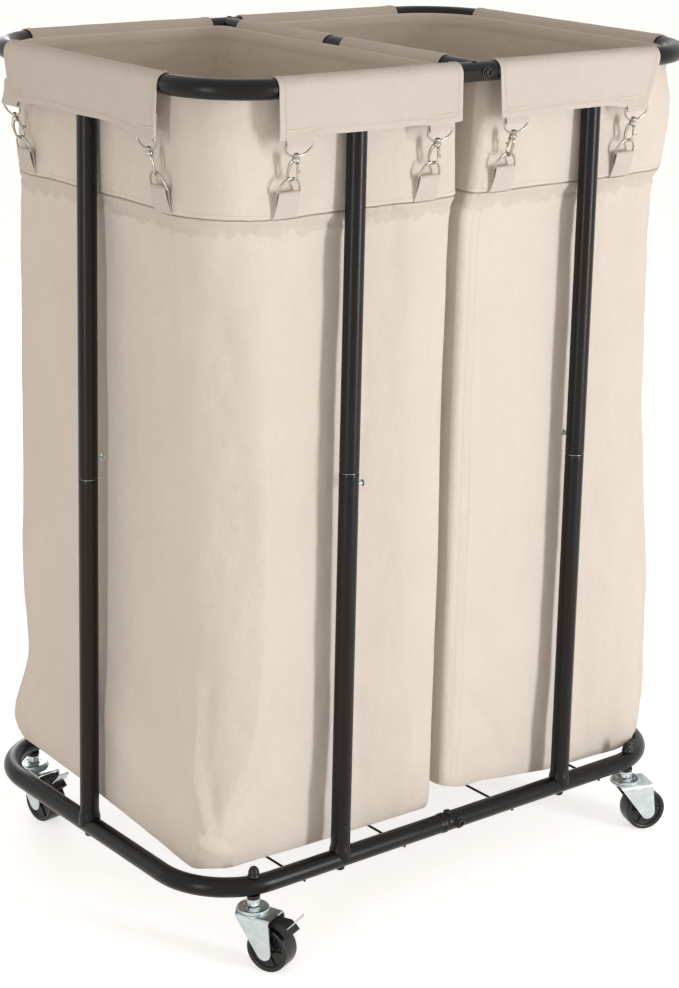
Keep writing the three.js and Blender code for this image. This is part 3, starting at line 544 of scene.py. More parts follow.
# %% Tubes with saddle ends
def coped_tube(foot, head, across, stations, sides=40, foot_saddle=True, head_saddle=True):
    """A round bar from foot to head through (distance from foot, radius) stations."""
    foot, head, across = Vector(foot), Vector(head), Vector(across)
    along = (head - foot).normalized()
    other = along.cross(across)
    length = (head - foot).length
    rows = []
    for k, (distance, size) in enumerate(stations):
        row = []
        for i in range(sides):
            t = 2 * math.pi * i / sides
            a, b = size * math.cos(t), size * math.sin(t)
            saddle = math.sqrt(max(saddle_radius**2 - min(abs(b), saddle_radius) ** 2, 0))
            d = distance
            if foot_saddle and k == 0:
                d = saddle
            if head_saddle and k == len(stations) - 1:
                d = length - saddle
            row.append(foot + along * d + across * a + other * b)
        rows.append(row)
    return skin(rows)


# %% Uprights in two telescoped sections
joint_rise, flipped_joint_rise, screw_rise = 416, 452, 437
joint_gap = 0.3


def upright_stations(low, high, at_foot, at_head):
    """Stations of one section. A few more behind each worked end keep the long faces flat."""
    stations = []
    if at_foot:
        stations += [(0, 12.6), (10.4, 12.6), (11.6, 12.4), (14.5, 11.6), (18.5, 11.05), (19.5, 11)]
        stations += [(24, 11)]
    else:
        stations += [(low, 10.2), (low + 0.35, 10.75), (low + 0.9, 11), (low + 4, 11)]
    if at_head:
        stations += [(ring_rise - 17, 11), (ring_rise - 12.5, 11), (ring_rise, 11)]
    else:
        stations += [(high - 4, 11), (high - 0.9, 11), (high - 0.35, 10.75), (high, 10.2)]
    return stations


uprights = []
for hand, side in (("left", -1), ("right", 1)):
    uprights.append(("upright_front_" + hand, (side * upright_x, -half_width), (1, 0, 0), side < 0))
    uprights.append(("upright_" + hand + "_end", (side * half_length, 0), (0, 1, 0), False))
    uprights.append(("upright_back_" + hand, (side * upright_x, half_width), (1, 0, 0), side > 0))

for name, (x, y), across, flipped in uprights:
    joint = flipped_joint_rise if flipped else joint_rise
    foot, head = (x, y, bottom_z), (x, y, top_z)
    low_stations = upright_stations(0, joint - joint_gap, True, False)
    high_stations = upright_stations(joint + joint_gap, 0, False, True)
    lower = coped_tube(foot, head, across, low_stations, head_saddle=False)
    upper = coped_tube(foot, head, across, high_stations, foot_saddle=False)
    for part, form in (("lower", lower), ("upper", upper)):
        mesh = to_mesh(name + "_" + part + "_tube", Form().add(*form))
        add_piece(mesh.name, mesh, powder_coat, name + "_" + part)
    sleeve = [(x, y, bottom_z + joint - 2), (x, y, bottom_z + joint + 2)]
    mesh = bars(name + "_sleeve", [(sleeve, [9.7, 9.7], False)], zinc, 32)
    add_piece(mesh.name, mesh, zinc, name + "_lower")

# %% Divider tube
length = 2 * half_width
stations = [(d, tube_radius) for d in (0, 13, 18, length - 18, length - 13, length)]
divider = coped_tube((0, -half_width, top_z), (0, half_width, top_z), (1, 0, 0), stations)
mesh = to_mesh("divider_tube_bar", Form().add(*divider))
add_piece(mesh.name, mesh, powder_coat, "divider_tube")

# %% [markdown]
# ## Bolts, screws and rivets
# The frame is held by button-head bolts with a hex socket and a washer, by dome-head bolts up through
# the bottom ring, and by clamp screws across the uprights. Each kind is drawn once and then placed.

# %% Models of the fasteners
def hex_socket_head(seat, height, top_radius, base_radius, socket_radius=2.3, sides=36):
    """A button head along -Z whose hex socket is pressed into its top."""
    turns = [2 * math.pi * i / sides for i in range(sides)]
    outside = [(base_radius, 0), (base_radius, 0.35), (0.94 * base_radius, 0.62)]
    outside += [(0.78 * base_radius, 0.86), (top_radius, 1)]
    rows = []
    for radius, share in outside:
        low = -seat - share * height
        rows.append([(radius * math.cos(t), radius * math.sin(t), low) for t in turns])
    for share in (1, 0.35):
        row = []
        for t in turns:
            flat = (t + math.pi / 6) % (math.pi / 3) - math.pi / 6
            radius = socket_radius / math.cos(flat)
            row.append((radius * math.cos(t), radius * math.sin(t), -seat - share * height))
        rows.append(row)
    return skin(rows)


def dome_head(name, radius, height, steps=6):
    turns = [math.pi / 2 * i / steps for i in range(steps + 1)]
    dome = [(radius * math.cos(t), -0.25 * height - 0.75 * height * math.sin(t)) for t in turns]
    return lathed(name, [(0, 0.0), (radius, 0.0)] + dome, 28, 50)


tube_flat = 10.62
washer_profile = [(3.2, 0), (7, 0), (7, 1.0), (6.7, 1.2), (3.2, 1.2), (3.2, 0)]
joint_bolt = Form().add(*hex_socket_head(1.2, 3.4, 3.4, 5.4))
joint_bolt.add(*turned(raised(washer_profile, 0, -1), 36))
joint_bolt_mesh = to_mesh("joint_bolt", joint_bolt, 40, 0.15)
nut_profile = [(3, 0), (5.6, 0), (5.6, -4.4), (5.0, -5), (3, -5), (3, 0)]
joint_nut_mesh = lathed("joint_nut", nut_profile, 6, 30, 0.3)


def facing_out(x, y, z, way):
    """A place whose local -Z points along the way given."""
    turn = Vector((0, 0, -1)).rotation_difference(Vector(way)).to_matrix().to_4x4()
    return Matrix.Translation((x, y, z)) @ turn


# %% Fasteners of the rings
bolt_out, nut_out = half_width + tube_flat + 0.1, half_width - tube_flat - 0.1
ring_bolts = [facing_out(0, end * bolt_out, top_z, (0, end, 0)) for end in (-1, 1)]
mesh = copies_of("divider_bolts", joint_bolt_mesh, ring_bolts, black_oxide)
add_piece("divider_bolts", face_out(mesh, 40), black_oxide, "divider_tube")
for end, where in ((-1, "front"), (1, "back")):
    name = "bottom_joint_bolt_" + where
    spot = facing_out(0, end * bolt_out, bottom_z, (0, end, 0))
    head = copies_of(name + "_head", joint_bolt_mesh, [spot], black_oxide)
    nut = placed("nut", joint_nut_mesh, facing_out(0, end * nut_out, bottom_z, (0, -end, 0)))
    add_piece(name + "_set", face_out(merged(name + "_set", head, nut), 40), black_oxide, name)


def ring_tops(z):
    """Two places on top of a ring, near the middles of its long sides."""
    spots = ((-10, -half_width), (4, half_width))
    return [facing_out(x, y, z + rivet_seat, (0, 0, 1)) for x, y in spots]


foot_seat, rivet_seat = 10.7, 10.8
foot_places = [facing_out(x, y, bottom_z - foot_seat, (0, 0, -1)) for _, (x, y), _, _ in uprights]
for name, model, places, node in (
    ("upright_foot_bolts", dome_head("dome_bolt", 5.5, 4.5), foot_places, "upright_front_left_lower"),
    ("lower_ring_rivets", dome_head("small_dome", 4.8, 3.8), ring_tops(bottom_z), "bottom_ring_left"),
    ("upper_ring_rivets", dome_head("flat_dome", 3.4, 1.5), ring_tops(top_z), "top_ring_left"),
):
    mesh = copies_of(name, model, places, black_oxide)
    add_piece(name, face_out(mesh, 50), black_oxide, node)

# %% Clamp screws across the uprights
clamp_profile = [(0, 9), (2.2, 9), (2.2, 17.6), (3.7, 18.1), (3.9, 18.6), (3.5, 19.6)]
clamp_profile += [(1.8, 20), (0, 20)]
clamp_mesh = lathed("clamp_screw", raised(clamp_profile, 0, -1), 24, 40)
clamp_ways = {
    "upright_front_left": (1, 0, 0),
    "upright_left_end": (1, 0, 0),
    "upright_back_left": (0, -1, 0),
    "upright_front_right": (0, 1, 0),
    "upright_right_end": (-1, 0, 0),
    "upright_back_right": (-1, 0, 0),
}
for name, (x, y), _, flipped in uprights:
    place = facing_out(x, y, bottom_z + screw_rise, clamp_ways[name])
    mesh = copies_of(name + "_clamp_screw", clamp_mesh, [place], zinc)
    held_by = name + ("_lower" if flipped else "_upper")
    add_piece(name + "_clamp_screw", face_out(mesh, 40), zinc, held_by)

# %% [markdown]
# ## Casters
# A caster is drawn once with its wheel trailing towards +X and its stem on the Z axis, then turned to
# how it stands. Its stem stays on the frame, its fork swivels, and its wheel rolls in the fork.

# %% Sizes of a caster
cap_top, crown_top, crown_bottom = 67.775, 61.475, 58.975
trail, wheel_radius = 24.5, 25.402
stem_x, stem_y = 286.0, 232.14
leg_outer, leg_thickness, boss_radius = 16, 2, 9
crown_front, crown_rear = 14, 5
# name, side, end, which way the wheel trails in degrees, and whether it has a brake
casters = (
    ("caster_front_left", -1, -1, -68, True),
    ("caster_front_right", 1, -1, -19, False),
    ("caster_back_left", -1, 1, -83, True),
    ("caster_back_right", 1, 1, 78, False),
)

# %% The stem: threaded shaft, hex, collar and acorn nut
hex_low = cap_top + 0.3
collar_low = hex_low + 9
acorn_low = bottom_z + tube_flat + 0.3
stem_hex = [(0, 0), (7.4, 0), (8, 0.8), (8, 8.2), (7.4, 9), (0, 9)]
shaft = [(0, -2.5), (5.8, -2.5), (7, -1.8), (7, -0.3), (4, -0.3), (4, 9.1), (0, 9.1)]
stem_steel = merged(
    "stem_steel",
    lathed("hex", raised(stem_hex, hex_low), 6, 30, 0.35),
    lathed("shaft", raised(shaft, crown_bottom), 32),
)
acorn = [(0, 0), (7, 0), (7, 1.2), (6.2, 2.2), (6.2, 3.6)]
turns = [math.pi / 16 * i for i in range(1, 9)]
acorn += [(6.2 * math.cos(t), 3.6 + 8.2 * math.sin(t)) for t in turns]
collar = [(4, 0.1), (7.1, 0.1), (7.5, 0.6), (7.5, 3.4), (7.1, 4), (4, 4), (4, 0.1)]
stem_form = Form().add(*turned(raised(acorn, acorn_low), 32))
stem_black = to_mesh("stem_black", stem_form.add(*turned(raised(collar, collar_low), 32)), 40)

# %% The fork: a stamped bracket under a turned cap
def leg_span(z):
    """Front and rear edge of a fork leg at a height."""
    reach_x, reach_z = trail + crown_front, crown_top - wheel_radius
    away = math.atan2(reach_z, -reach_x) + math.acos(boss_radius / math.hypot(reach_x, reach_z))
    touch = (trail + boss_radius * math.cos(away), wheel_radius + boss_radius * math.sin(away))
    drop = max(boss_radius**2 - (z - wheel_radius) ** 2, 0) ** 0.5
    if z >= touch[1]:
        share = (crown_top - z) / (crown_top - touch[1])
        front = -crown_front + (touch[0] + crown_front) * share
    else:
        front = trail - drop
    if z >= wheel_radius:
        share = (crown_top - z) / (crown_top - wheel_radius)
        rear = trail + crown_rear + (boss_radius - crown_rear) * share
    else:
        rear = trail + drop
    return front, rear


bend, fold_steps, across_leg = 3.2, 6, 12
leg_heights = [wheel_radius - boss_radius * math.cos(math.radians(6 + 14 * i)) for i in range(7)]
leg_heights += [27, 30, 34, 38, 42, 46, 50, 54, crown_top - bend - 1]
section_path = [(-leg_outer, z) for z in leg_heights]
for i in range(fold_steps + 1):
    t = math.pi / 2 * i / fold_steps
    section_path.append((-leg_outer + bend - bend * math.cos(t), crown_top - bend + bend * math.sin(t)))
section_path += [(-8, crown_top), (0, crown_top)]
section_path += [(-y, z) for y, z in reversed(section_path[:-1])]
bracket_rows = []
for y, z in section_path:
    front, rear = leg_span(min(z, crown_top))
    row = [(front + (rear - front) * i / across_leg, y, z) for i in range(across_leg + 1)]
    bracket_rows.append(row)
points, faces = skin(bracket_rows, closed=False, caps=False)
bracket = walled(raw_mesh("bracket", points, [f[::-1] for f in faces]), leg_thickness, even=True)

cap_profile = [(0, 0.1), (17.2, 0.1), (18.6, 0.5), (19.25, 1.4), (19.25, 2.2), (18.5, 2.7)]
cap_profile += [(17.9, 2.9), (17.9, 3.4), (18.4, 3.6), (18.4, 4.5), (17.4, 5.8), (15.6, 6.2)]
cap_profile += [(11.5, 6.1), (10.2, 5.2), (8.6, 5.1), (7.6, 6.3), (4.4, 6.3), (4.4, -2.7), (0, -2.7)]
cap = lathed("cap", raised(cap_profile, crown_top), 56, 30)
rivet_end = [(3, 0), (5.5, 0), (5.2, 1.0), (3.9, 1.9), (2.4, 2), (2.0, 1.2), (0, 1.1)]
rivet_profile = raised(reversed(rivet_end), -leg_outer, -1) + raised(rivet_end, leg_outer)
lay_down = Matrix.Translation((trail, 0, wheel_radius)) @ Matrix.Rotation(-math.pi / 2, 4, "X")
axle = lathed("axle", rivet_profile, 32, 30, place=lay_down)
fork = merged("fork", face_out(bracket, 35), cap, axle)

# %% The wheel: a moulded tyre and web with ribs
tread = [(25.402, 0), (25.402, 9.6), (25.2, 10.8), (24.9, 11.6)]
rim_side = [(24.2, 12), (22.2, 12), (20.4, 11.4), (19.2, 9.2), (12, 8.9), (8.2, 9.2)]
rim_side += [(7.0, 10.4), (6.6, 13.4), (3.4, 13.4)]
half_profile = tread + rim_side
profile = raised(reversed(half_profile), 0, -1) + half_profile[1:]
wheel_form = Form().add(*turned(profile + [profile[0]], 72), place=lay_down)
rib_count = 6
block_faces = [[0, 1, 3, 2], [4, 6, 7, 5], [0, 4, 5, 1], [2, 3, 7, 6], [0, 2, 6, 4], [1, 5, 7, 3]]
for face in (-1, 1):
    ends = ((6.2, 11), (20, 10.6))
    rib = [(x, y, face * z) for x, top in ends for y in (-0.9, 0.9) for z in (8.4, top)]
    for i in range(rib_count):
        place = lay_down @ Matrix.Rotation(2 * math.pi * i / rib_count, 4, "Z")
        wheel_form.add(rib, block_faces, place=place)
wheel = to_mesh("wheel", wheel_form, 30, 0.25)

# %% The brake lever of a left caster
pivot_x, pivot_z = trail + 2.5, crown_bottom - 3.5
block_width, tail_length, tail_tilt = 20, 22, math.radians(48)


def around_axle(radius, angle_deg):
    angle = math.radians(angle_deg)
    return trail + radius * math.cos(angle), wheel_radius + radius * math.sin(angle)


inner_radius, outer_radius = wheel_radius + 3.4, wheel_radius + 13.6
outline = [(pivot_x - 3.2, pivot_z), (pivot_x - 2.2, pivot_z - 2.3), (pivot_x, pivot_z - 3.2)]
outline += [around_axle(inner_radius, 76 - 4 * i) for i in range(10)]
outline += [around_axle(outer_radius, 40 + 4 * i) for i in range(6)]
outline += [(pivot_x + 1.5, pivot_z + 3.1), (pivot_x, pivot_z + 3.2), (pivot_x - 2.2, pivot_z + 2.3)]
block_rows = [[(x, end * block_width / 2, z) for x, z in outline] for end in (-1, 1)]
shoe = to_mesh("brake_shoe", Form().add(*skin(block_rows)), 40, 0.7)
pin_place = Matrix.Translation((pivot_x, 0, pivot_z)) @ Matrix.Rotation(math.pi / 2, 4, "X")
pin = lathed("brake_pin", [(1.7, -leg_outer), (1.7, leg_outer)], 16, place=pin_place)
brake_lever = merged("brake_lever", shoe, pin)
root_x, root_z = around_axle(inner_radius + 0.7 * 10.2, 52)
tail_section = [(-1, 0), (6, 0.2), (12, -0.1), (tail_length - 3, 0.4), (tail_length - 0.3, 1.6)]
tail_rows = []
for along, lift in tail_section:
    half = 9 if along < tail_length - 4 else 8
    corners = ((-half, -0.6), (half, -0.6), (half, 0.6), (-half, 0.6))
    tail_rows.append([(along, y, lift + up) for y, up in corners])
tail_place = Matrix.Translation((root_x, 0, root_z)) @ Matrix.Rotation(-tail_tilt, 4, "Y")
brake_tail = to_mesh("brake_tail", Form().add(*skin(tail_rows), place=tail_place), 40, 0.3)

# %% Stand the four casters
for name, side, end, turn_deg, has_brake in casters:
    stand = Matrix.Translation((side * stem_x, end * stem_y, 0))
    trailing = stand @ Matrix.Rotation(math.radians(turn_deg), 4, "Z")
    parts = [
        ("_stem_steel", stem_steel, stand, zinc, "_stem", ""),
        ("_stem_nut", stem_black, stand, black_oxide, "_stem", ""),
        ("_fork_plate", fork, trailing, zinc, "_fork", "_swivel"),
        ("_tyre", wheel, trailing, wheel_plastic, "_wheel", "_roller"),
    ]
    if has_brake:
        parts.append(("_brake_shoe", brake_lever, trailing, brake_plastic, "_brake_lever", "_brake"))
        parts.append(("_brake_tail", brake_tail, trailing, zinc, "_brake_lever", "_brake"))
    for part, model, place, finish, node, body in parts:
        mesh = placed(name + part, model, place)
        add_piece(name + part, mesh, finish, name + node, name + body if body else "frame")
print("casters:", len(casters))

# %% [markdown]
# ## The two bags
# A bag is sewn from two tiers: a straight band round the top and a slightly smaller body under it.
# Both follow one rule, an outline with four round corners that changes with height, so one function
# gives any point of the cloth. The folds are then laid on it, and the seams and stitches use it too.

# %% Tables read with a smooth curve
def read_curve(table, at):
    """The values beside `at` in rows of (key, value, ...), joined by a smooth curve."""
    if at <= table[0][0]:
        return table[0][1:]
    if at >= table[-1][0]:
        return table[-1][1:]
    k = next(i for i in range(len(table) - 1) if at <= table[i + 1][0])
    low, high = table[k], table[k + 1]
    before, after = table[max(k - 1, 0)], table[min(k + 2, len(table) - 1)]
    span = high[0] - low[0]
    t = (at - low[0]) / span
    values = []
    for c in range(1, len(low)):
        slope_low = (high[c] - before[c]) / (high[0] - before[0]) * span
        slope_high = (after[c] - low[c]) / (after[0] - low[0]) * span
        a = (2 * t**3 - 3 * t**2 + 1) * low[c] + (t**3 - 2 * t**2 + t) * slope_low
        values.append(a + (3 * t**2 - 2 * t**3) * high[c] + (t**3 - t**2) * slope_high)
    return values


def share_of(value, whole):
    return min(max(value / whole, 0), 1)


def eased(low, high, value):
    t = share_of(value - low, high - low)
    return t * t * (3 - 2 * t)


def bell(distance, width):
    """1 at no distance, and next to nothing beyond twice the width."""
    return math.exp(-((distance / width) ** 2))


# %% Where the clips hang
# place along the side, counted left to right as seen from outside
clip_places = {
    "front": [-253.05, -64.75, 44.1, 227.85],
    "back": [253.05, 64.75, -44.1, -227.85],
    "left": [-136.07, 132.07],
    "right": [-136.07, 132.07],
}
tug_width = 24
# how far each pulls the hem of its flap down, and over what width
hem_pulls = {
    "front": [(3.5, 22), (3, 20), (3, 20), (4, 22)],
    "back": [(3, 22), (3, 20), (4, 22), (3, 20)],
    "left": [(3, 30), (8.5, 38)],
    "right": [(4, 26), (3, 26)],
}


def seam_tug(x, y, height):
    """The clips pull the band's seam out a little where they hold it."""
    here, places = x, clip_places["front"]
    if abs(x) > 290:
        here, places = y, [way * c for way in (1, -1) for c in clip_places["left"]]
    return 5.5 * max(bell(here - c, tug_width) for c in places) * bell(height - 738, 26)


# %% Outline of a bag at each height above the lower ring
seam_height, rim_height, lift_end = 737, 876, 320
# height, reach, half width, outer back corner, divider side, divider corner
bag_levels = [
    (0, 329, 203.5, 30, 8.5, 12),
    (20, 331, 205, 22, 8, 9),
    (55, 331, 205, 22, 8, 8),
    (120, 330, 205, 22, 8, 8),
    (185, 328, 205, 24, 8, 8),
    (300, 326.5, 205, 26, 8, 8),
    (450, 326, 205, 30, 8, 9),
    (630, 327, 205.5, 40, 8, 10),
    (700, 329, 206.5, 54, 8, 11),
    (712, 330, 208.2, 60, 8.2, 12),
    (726, 331.5, 213, 66, 8.8, 12),
    (738, 333.3, 218, 72, 9.5, 13),
    (746, 334.5, 219.8, 74, 10.5, 14),
    (812, 336.8, 222, 82, 15, 14),
    (845, 337, 222, 80, 15, 14),
    (876, 337, 222, 76, 15, 14),
]
# lift: (place round the bag, how far its bottom edge hangs above the ring)
# front_corner: (height, radius, how far it stands out); back_corner: (height, how far)
bags = {
    "left": {
        "side": -1,
        "lift": [(0, 7), (0.5, 9), (1, 12), (1.5, 13), (2, 9), (2.2, 16), (2.45, 25), (3, 36)]
        + [(4, 30), (5, 14), (6, 14), (7, 8), (8, 7)],
        "front_corner": [(0, 34, -3), (30, 32, -6), (60, 34, -9), (150, 46, -19), (230, 54, -23)]
        + [(300, 58, -21), (450, 62, -16), (600, 66, -9), (700, 68, -3), (745, 70, 0)]
        + [(812, 62, 0), (845, 70, 0), (876, 76, 0)],
        "back_corner": [(0, 0), (43, 6), (90, -8), (130, -19), (175, -13), (230, -4)]
        + [(300, 0), (876, 0)],
        "flat_corner": 0.45,
        "fuller_front": 4.5,
        "spread": 1.0,
    },
    "right": {
        "side": 1,
        "lift": [(0, 24), (0.03, 21), (0.085, 18), (0.17, 18), (0.29, 13), (0.41, 9), (0.52, 5)]
        + [(0.77, 1.6), (0.93, 0), (1.02, 6), (1.2, 13), (2, 13), (3, 13), (4, 13), (5, 16)]
        + [(6, 18), (7, 26), (8, 24)],
        "front_corner": [(0, 18, 10), (55, 14, 10), (120, 15, 11), (185, 17, 11), (250, 20, 10)]
        + [(315, 26, 8), (380, 33, 5), (450, 39, 3), (569, 42, 2), (631, 46, 0), (692, 50, 0)]
        + [(738, 56, 0), (812, 48, 0), (845, 62, 0), (876, 76, 0)],
        "back_corner": [(0, 4), (120, 5), (300, 2), (450, 0), (876, 0)],
        "flat_corner": 0.0,
        "fuller_front": 6.0,
        "spread": 2.0,
    },
}


@lru_cache(maxsize=None)
def bag_level(height):
    return read_curve(bag_levels, height)


def bag_outline(bag, p, height):
    """A point of the outline and the way out. p counts its eight parts from the inner front."""
    reach, half, outer, inner, tight = bag_level(round(height, 3))
    near, stand = read_curve(bag["front_corner"], height)
    part, t = int(p) % 8, p - int(p)
    if part % 2:
        x, y, r = {
            1: (reach - near, near - half, near),
            3: (reach - outer, half - outer, outer),
            5: (inner + tight, half - tight, tight),
            7: (inner + tight, tight - half, tight),
        }[part]
        turn = (part // 2 - 1 + t) * math.pi / 2
        way = Vector((math.cos(turn), math.sin(turn)))
        point = Vector((x, y)) + way * r
        if part == 1:
            flat = bag["flat_corner"] * eased(745, 600, height) * eased(15, 110, height)
            point = point.lerp(Vector((x, y - r)).lerp(Vector((x + r, y)), t), flat)
    else:
        corners = [(inner + tight, -half), (reach - near, -half), (reach, near - half)]
        corners += [(reach, half - outer), (reach - outer, half), (inner + tight, half)]
        corners += [(inner, half - tight), (inner, tight - half)]
        point = Vector(corners[part]).lerp(Vector(corners[part + 1]), t)
        way = Vector([(0, -1), (1, 0), (0, 1), (-1, 0)][part // 2])
    outside = share_of(point.x - 190, 135)
    point.x += stand * share_of(20 - point.y, 225) ** bag["spread"] * outside
    back = read_curve(bag["back_corner"], height)[0]
    point.x += back * share_of(point.y - 80, 125) ** 2 * outside
    return point, way


# %% [markdown]
# Real canvas never hangs flat. Wide soft waves run down it, long ridges lead into its corners where
# the weight pulls, and the gathered seam under the band makes small puckers. The waves are seeded
# noise, and the ridges are drawn as lines on the unrolled cloth.

# %% Folds of the cloth
corner_run, front_run, end_run = 78, 271, 310


def unrolled(p):
    """How far along the cloth a point lies from the outer front corner; the front is positive."""
    if p < 1:
        return corner_run / 2 + (1 - p) * front_run
    if p < 2:
        return (1.5 - p) * corner_run
    if p < 3:
        return -corner_run / 2 - (p - 2) * end_run
    return -corner_run / 2 - end_run - (p - 3) * 70


# each crease: its points (along, height), its half width, and how far it stands out
creases = {
    "left": [
        ([(20, 640), (40, 370), (52, 230), (45, 140), (6, 48)], 20, 3.2),
        ([(-215, 560), (-240, 330), (-225, 160), (-120, 70), (-30, 40)], 26, 3.6),
        ([(-12, 52), (-48, 112), (-62, 210)], 10, 2.2),
        ([(4, 50), (-22, 120), (-20, 220)], 12, -2.4),
        ([(-34, 62), (-12, 44), (22, 36), (34, 28)], 5, -2.8),
        ([(-20, 34), (4, 22), (34, 20)], 6, 2.0),
        ([(30, 60), (70, 110), (80, 200)], 14, -1.8),
        ([(110, 640), (118, 420), (104, 200)], 24, 1.6),
        ([(175, 600), (160, 380), (172, 120)], 22, -1.8),
        ([(250, 680), (262, 430), (250, 160)], 26, 1.8),
        ([(-300, 130), (-335, 100), (-349, 40)], 12, -5),
        ([(-330, 300), (-340, 180), (-349, 60)], 16, 3.5),
    ],
    "right": [
        ([(300, 560), (296, 330), (306, 60)], 9, 2.2),
        ([(284, 120), (250, 70), (235, 34)], 10, -2.2),
        ([(298, 90), (262, 150), (240, 230)], 11, 1.8),
        ([(240, 620), (230, 380), (238, 180)], 22, 1.8),
        ([(150, 640), (160, 360), (140, 120)], 26, -1.8),
        ([(80, 600), (70, 330), (84, 110)], 22, 1.8),
        ([(8, 60), (34, 130), (42, 240)], 14, 2.4),
        ([(-8, 60), (-40, 120), (-50, 220)], 12, -2),
        ([(12, 620), (10, 400), (16, 200)], 14, 1.6),
    ],
}


def crease_depth(name, along_cloth, height):
    depth = 0
    here = Vector((along_cloth, height))
    for line, breadth, stand in creases[name]:
        reach = 3 * breadth
        ends = (line[0][1], line[-1][1])
        if not min(ends) - reach < height < max(ends) + reach:
            continue
        nearest = 1e9
        for a, b in zip(line, line[1:]):
            a, b = Vector(a), Vector(b)
            t = share_of((here - a).dot(b - a), (b - a).length_squared)
            nearest = min(nearest, (here - a.lerp(b, t)).length)
        if nearest < reach:
            depth += stand * bell(nearest, breadth)
    return depth


def cloth_wave(x, y, z, across, down, seed):
    return noise.noise(Vector((x / across, y / across, z / down + seed)))


def bag_point(name, p, height, out=0.0):
    """A point of the bag's cloth in millimetres."""
    bag = bags[name]
    p %= 8
    point, way = bag_outline(bag, p, min(height, rim_height))
    side = bag["side"]
    seed = 11.0 if side < 0 else 37.0
    band = eased(728, 745, height)
    slack = 1 - 0.75 * band - 0.15 * eased(850, 870, height)
    waves = 3.6 * cloth_wave(point.x, point.y, height, 110, 300, seed)
    waves += 2.1 * cloth_wave(point.x, point.y, height, 44, 120, seed + 5)
    waves += 0.7 * cloth_wave(point.x, point.y, height, 17, 40, seed + 9)
    along_cloth = unrolled(p)
    depth = waves * slack * eased(-30, 40, height)
    depth += crease_depth(name, along_cloth, height) * (1 - band)
    below = seam_height - height
    if 0 < below < 97:
        gather = 2.4 * bell(below, 11) * noise.noise(Vector((along_cloth / 5.5, seed, 0)))
        edge = 14 + 7 * noise.noise(Vector((along_cloth / 30, seed, 3)))
        valley = 2.9 * eased(1, edge, below) * (1 - eased(edge, edge + 5.5, below))
        depth += gather - valley
    if p < 1:
        depth += bag["fuller_front"] * 4 * p * (1 - p) * eased(40, 160, height) * (1 - 0.8 * band)
    if 5 < p:
        depth *= 0.5
    elif 650 < height < 850:
        depth += seam_tug(side * point.x, point.y, height)
    point = point + way * (depth + out)
    lift = read_curve(bag["lift"], p)[0] if height < lift_end else 0
    z = height + lift * (1 - share_of(height, lift_end)) ** 2
    return Vector((side * point.x, point.y, bottom_z + z))


# %% Cloth laid out as a grid
part_samples = [90, 26, 96, 18, 30, 8, 40, 8]
columns = [part + i / n for part, n in enumerate(part_samples) for i in range(n)]


def cloth_mesh(name, rows, thickness, along, down, closed=False, flip=False):
    """Rows of points become a sheet with a wall. along and down are the cloth's map in metres."""
    points, faces = skin(rows, closed=closed, caps=False)
    mesh = raw_mesh(name, points, [f[::-1] for f in faces] if flip else faces)
    uv = mesh.uv_layers.new(name="cloth")
    width = len(rows[0])
    for face in mesh.polygons:
        used = [v % width for v in face.vertices]
        wraps = closed and max(used) - min(used) > 1
        for loop in face.loop_indices:
            r, c = divmod(mesh.loops[loop].vertex_index, width)
            uv.data[loop].uv = (along[width if wraps and c == 0 else c], down[r])
    return walled(mesh, thickness)


# %% Bands and bodies
canvas_wall = 1.2
# rows of (height, how far out), each turned in and back at its sewn edges
band_rows = [(862, -1.7), (868, -1.7), (874, -1.6), (876.2, -1.0), (876.8, -0.3), (876.2, 0.3)]
band_rows += [(874, 0.4), (868, 0.4), (865, 0.35)] + [(h, 0.3) for h in range(858, 742, -6)]
band_rows += [(741, 0.6), (738.6, 0.9), (737.4, 0.8), (736.9, 0.2), (737.2, -2.4), (744, -2.6)]
body_rows = [(742, -3.9), (738, -3.9), (735.6, -3.4), (735.2, -1.0), (734.6, 0.1), (733.2, 0.7)]
body_rows += [(730, 0.8), (726.5, 0.6), (723.5, 0.4)]
for first, last, fall in ((721, 700, 2), (696, 180, 8), (180, 60, 6), (60, 18, 4)):
    body_rows += [(h, 0) for h in range(first, last, -fall)]
body_rows += [(17, 0.0), (14.5, 0.5), (11, 0.5), (7, 0.6), (4, 0.8), (1.5, 0.7), (0, 0)]
# the bottom, in rows of (share of the way from its centre, rise)
bottom_rows = [(0.985, 0.8), (0.95, 2.5), (0.9, 3.5), (0.8, 3), (0.65, 1), (0.45, -1), (0.25, -2)]
bottom_rows += [(0.1, -2.4), (0.02, -2.5)]
perimeter = 1480
around = [c * (perimeter / len(columns)) * MM for c in range(len(columns) + 1)]


def sagging(name, p, height):
    """The band's seam isn't quite level: it dips between the clips."""
    dip = cloth_wave(unrolled(p), 0, 0, 60, 1, 3.0 if name == "left" else 8.0)
    return height - 1.6 * dip * eased(800, 745, height)


def bottom_row(edge, centre, share, rise):
    row = []
    for point in edge:
        spot = centre.lerp(point, share)
        dent = 1.5 * noise.noise(Vector((spot.x / 60, spot.y / 60, 5)))
        spot.z = centre.z + (point.z - centre.z) * share**1.5 + rise + dent * (1 - share)
        row.append(spot)
    return row


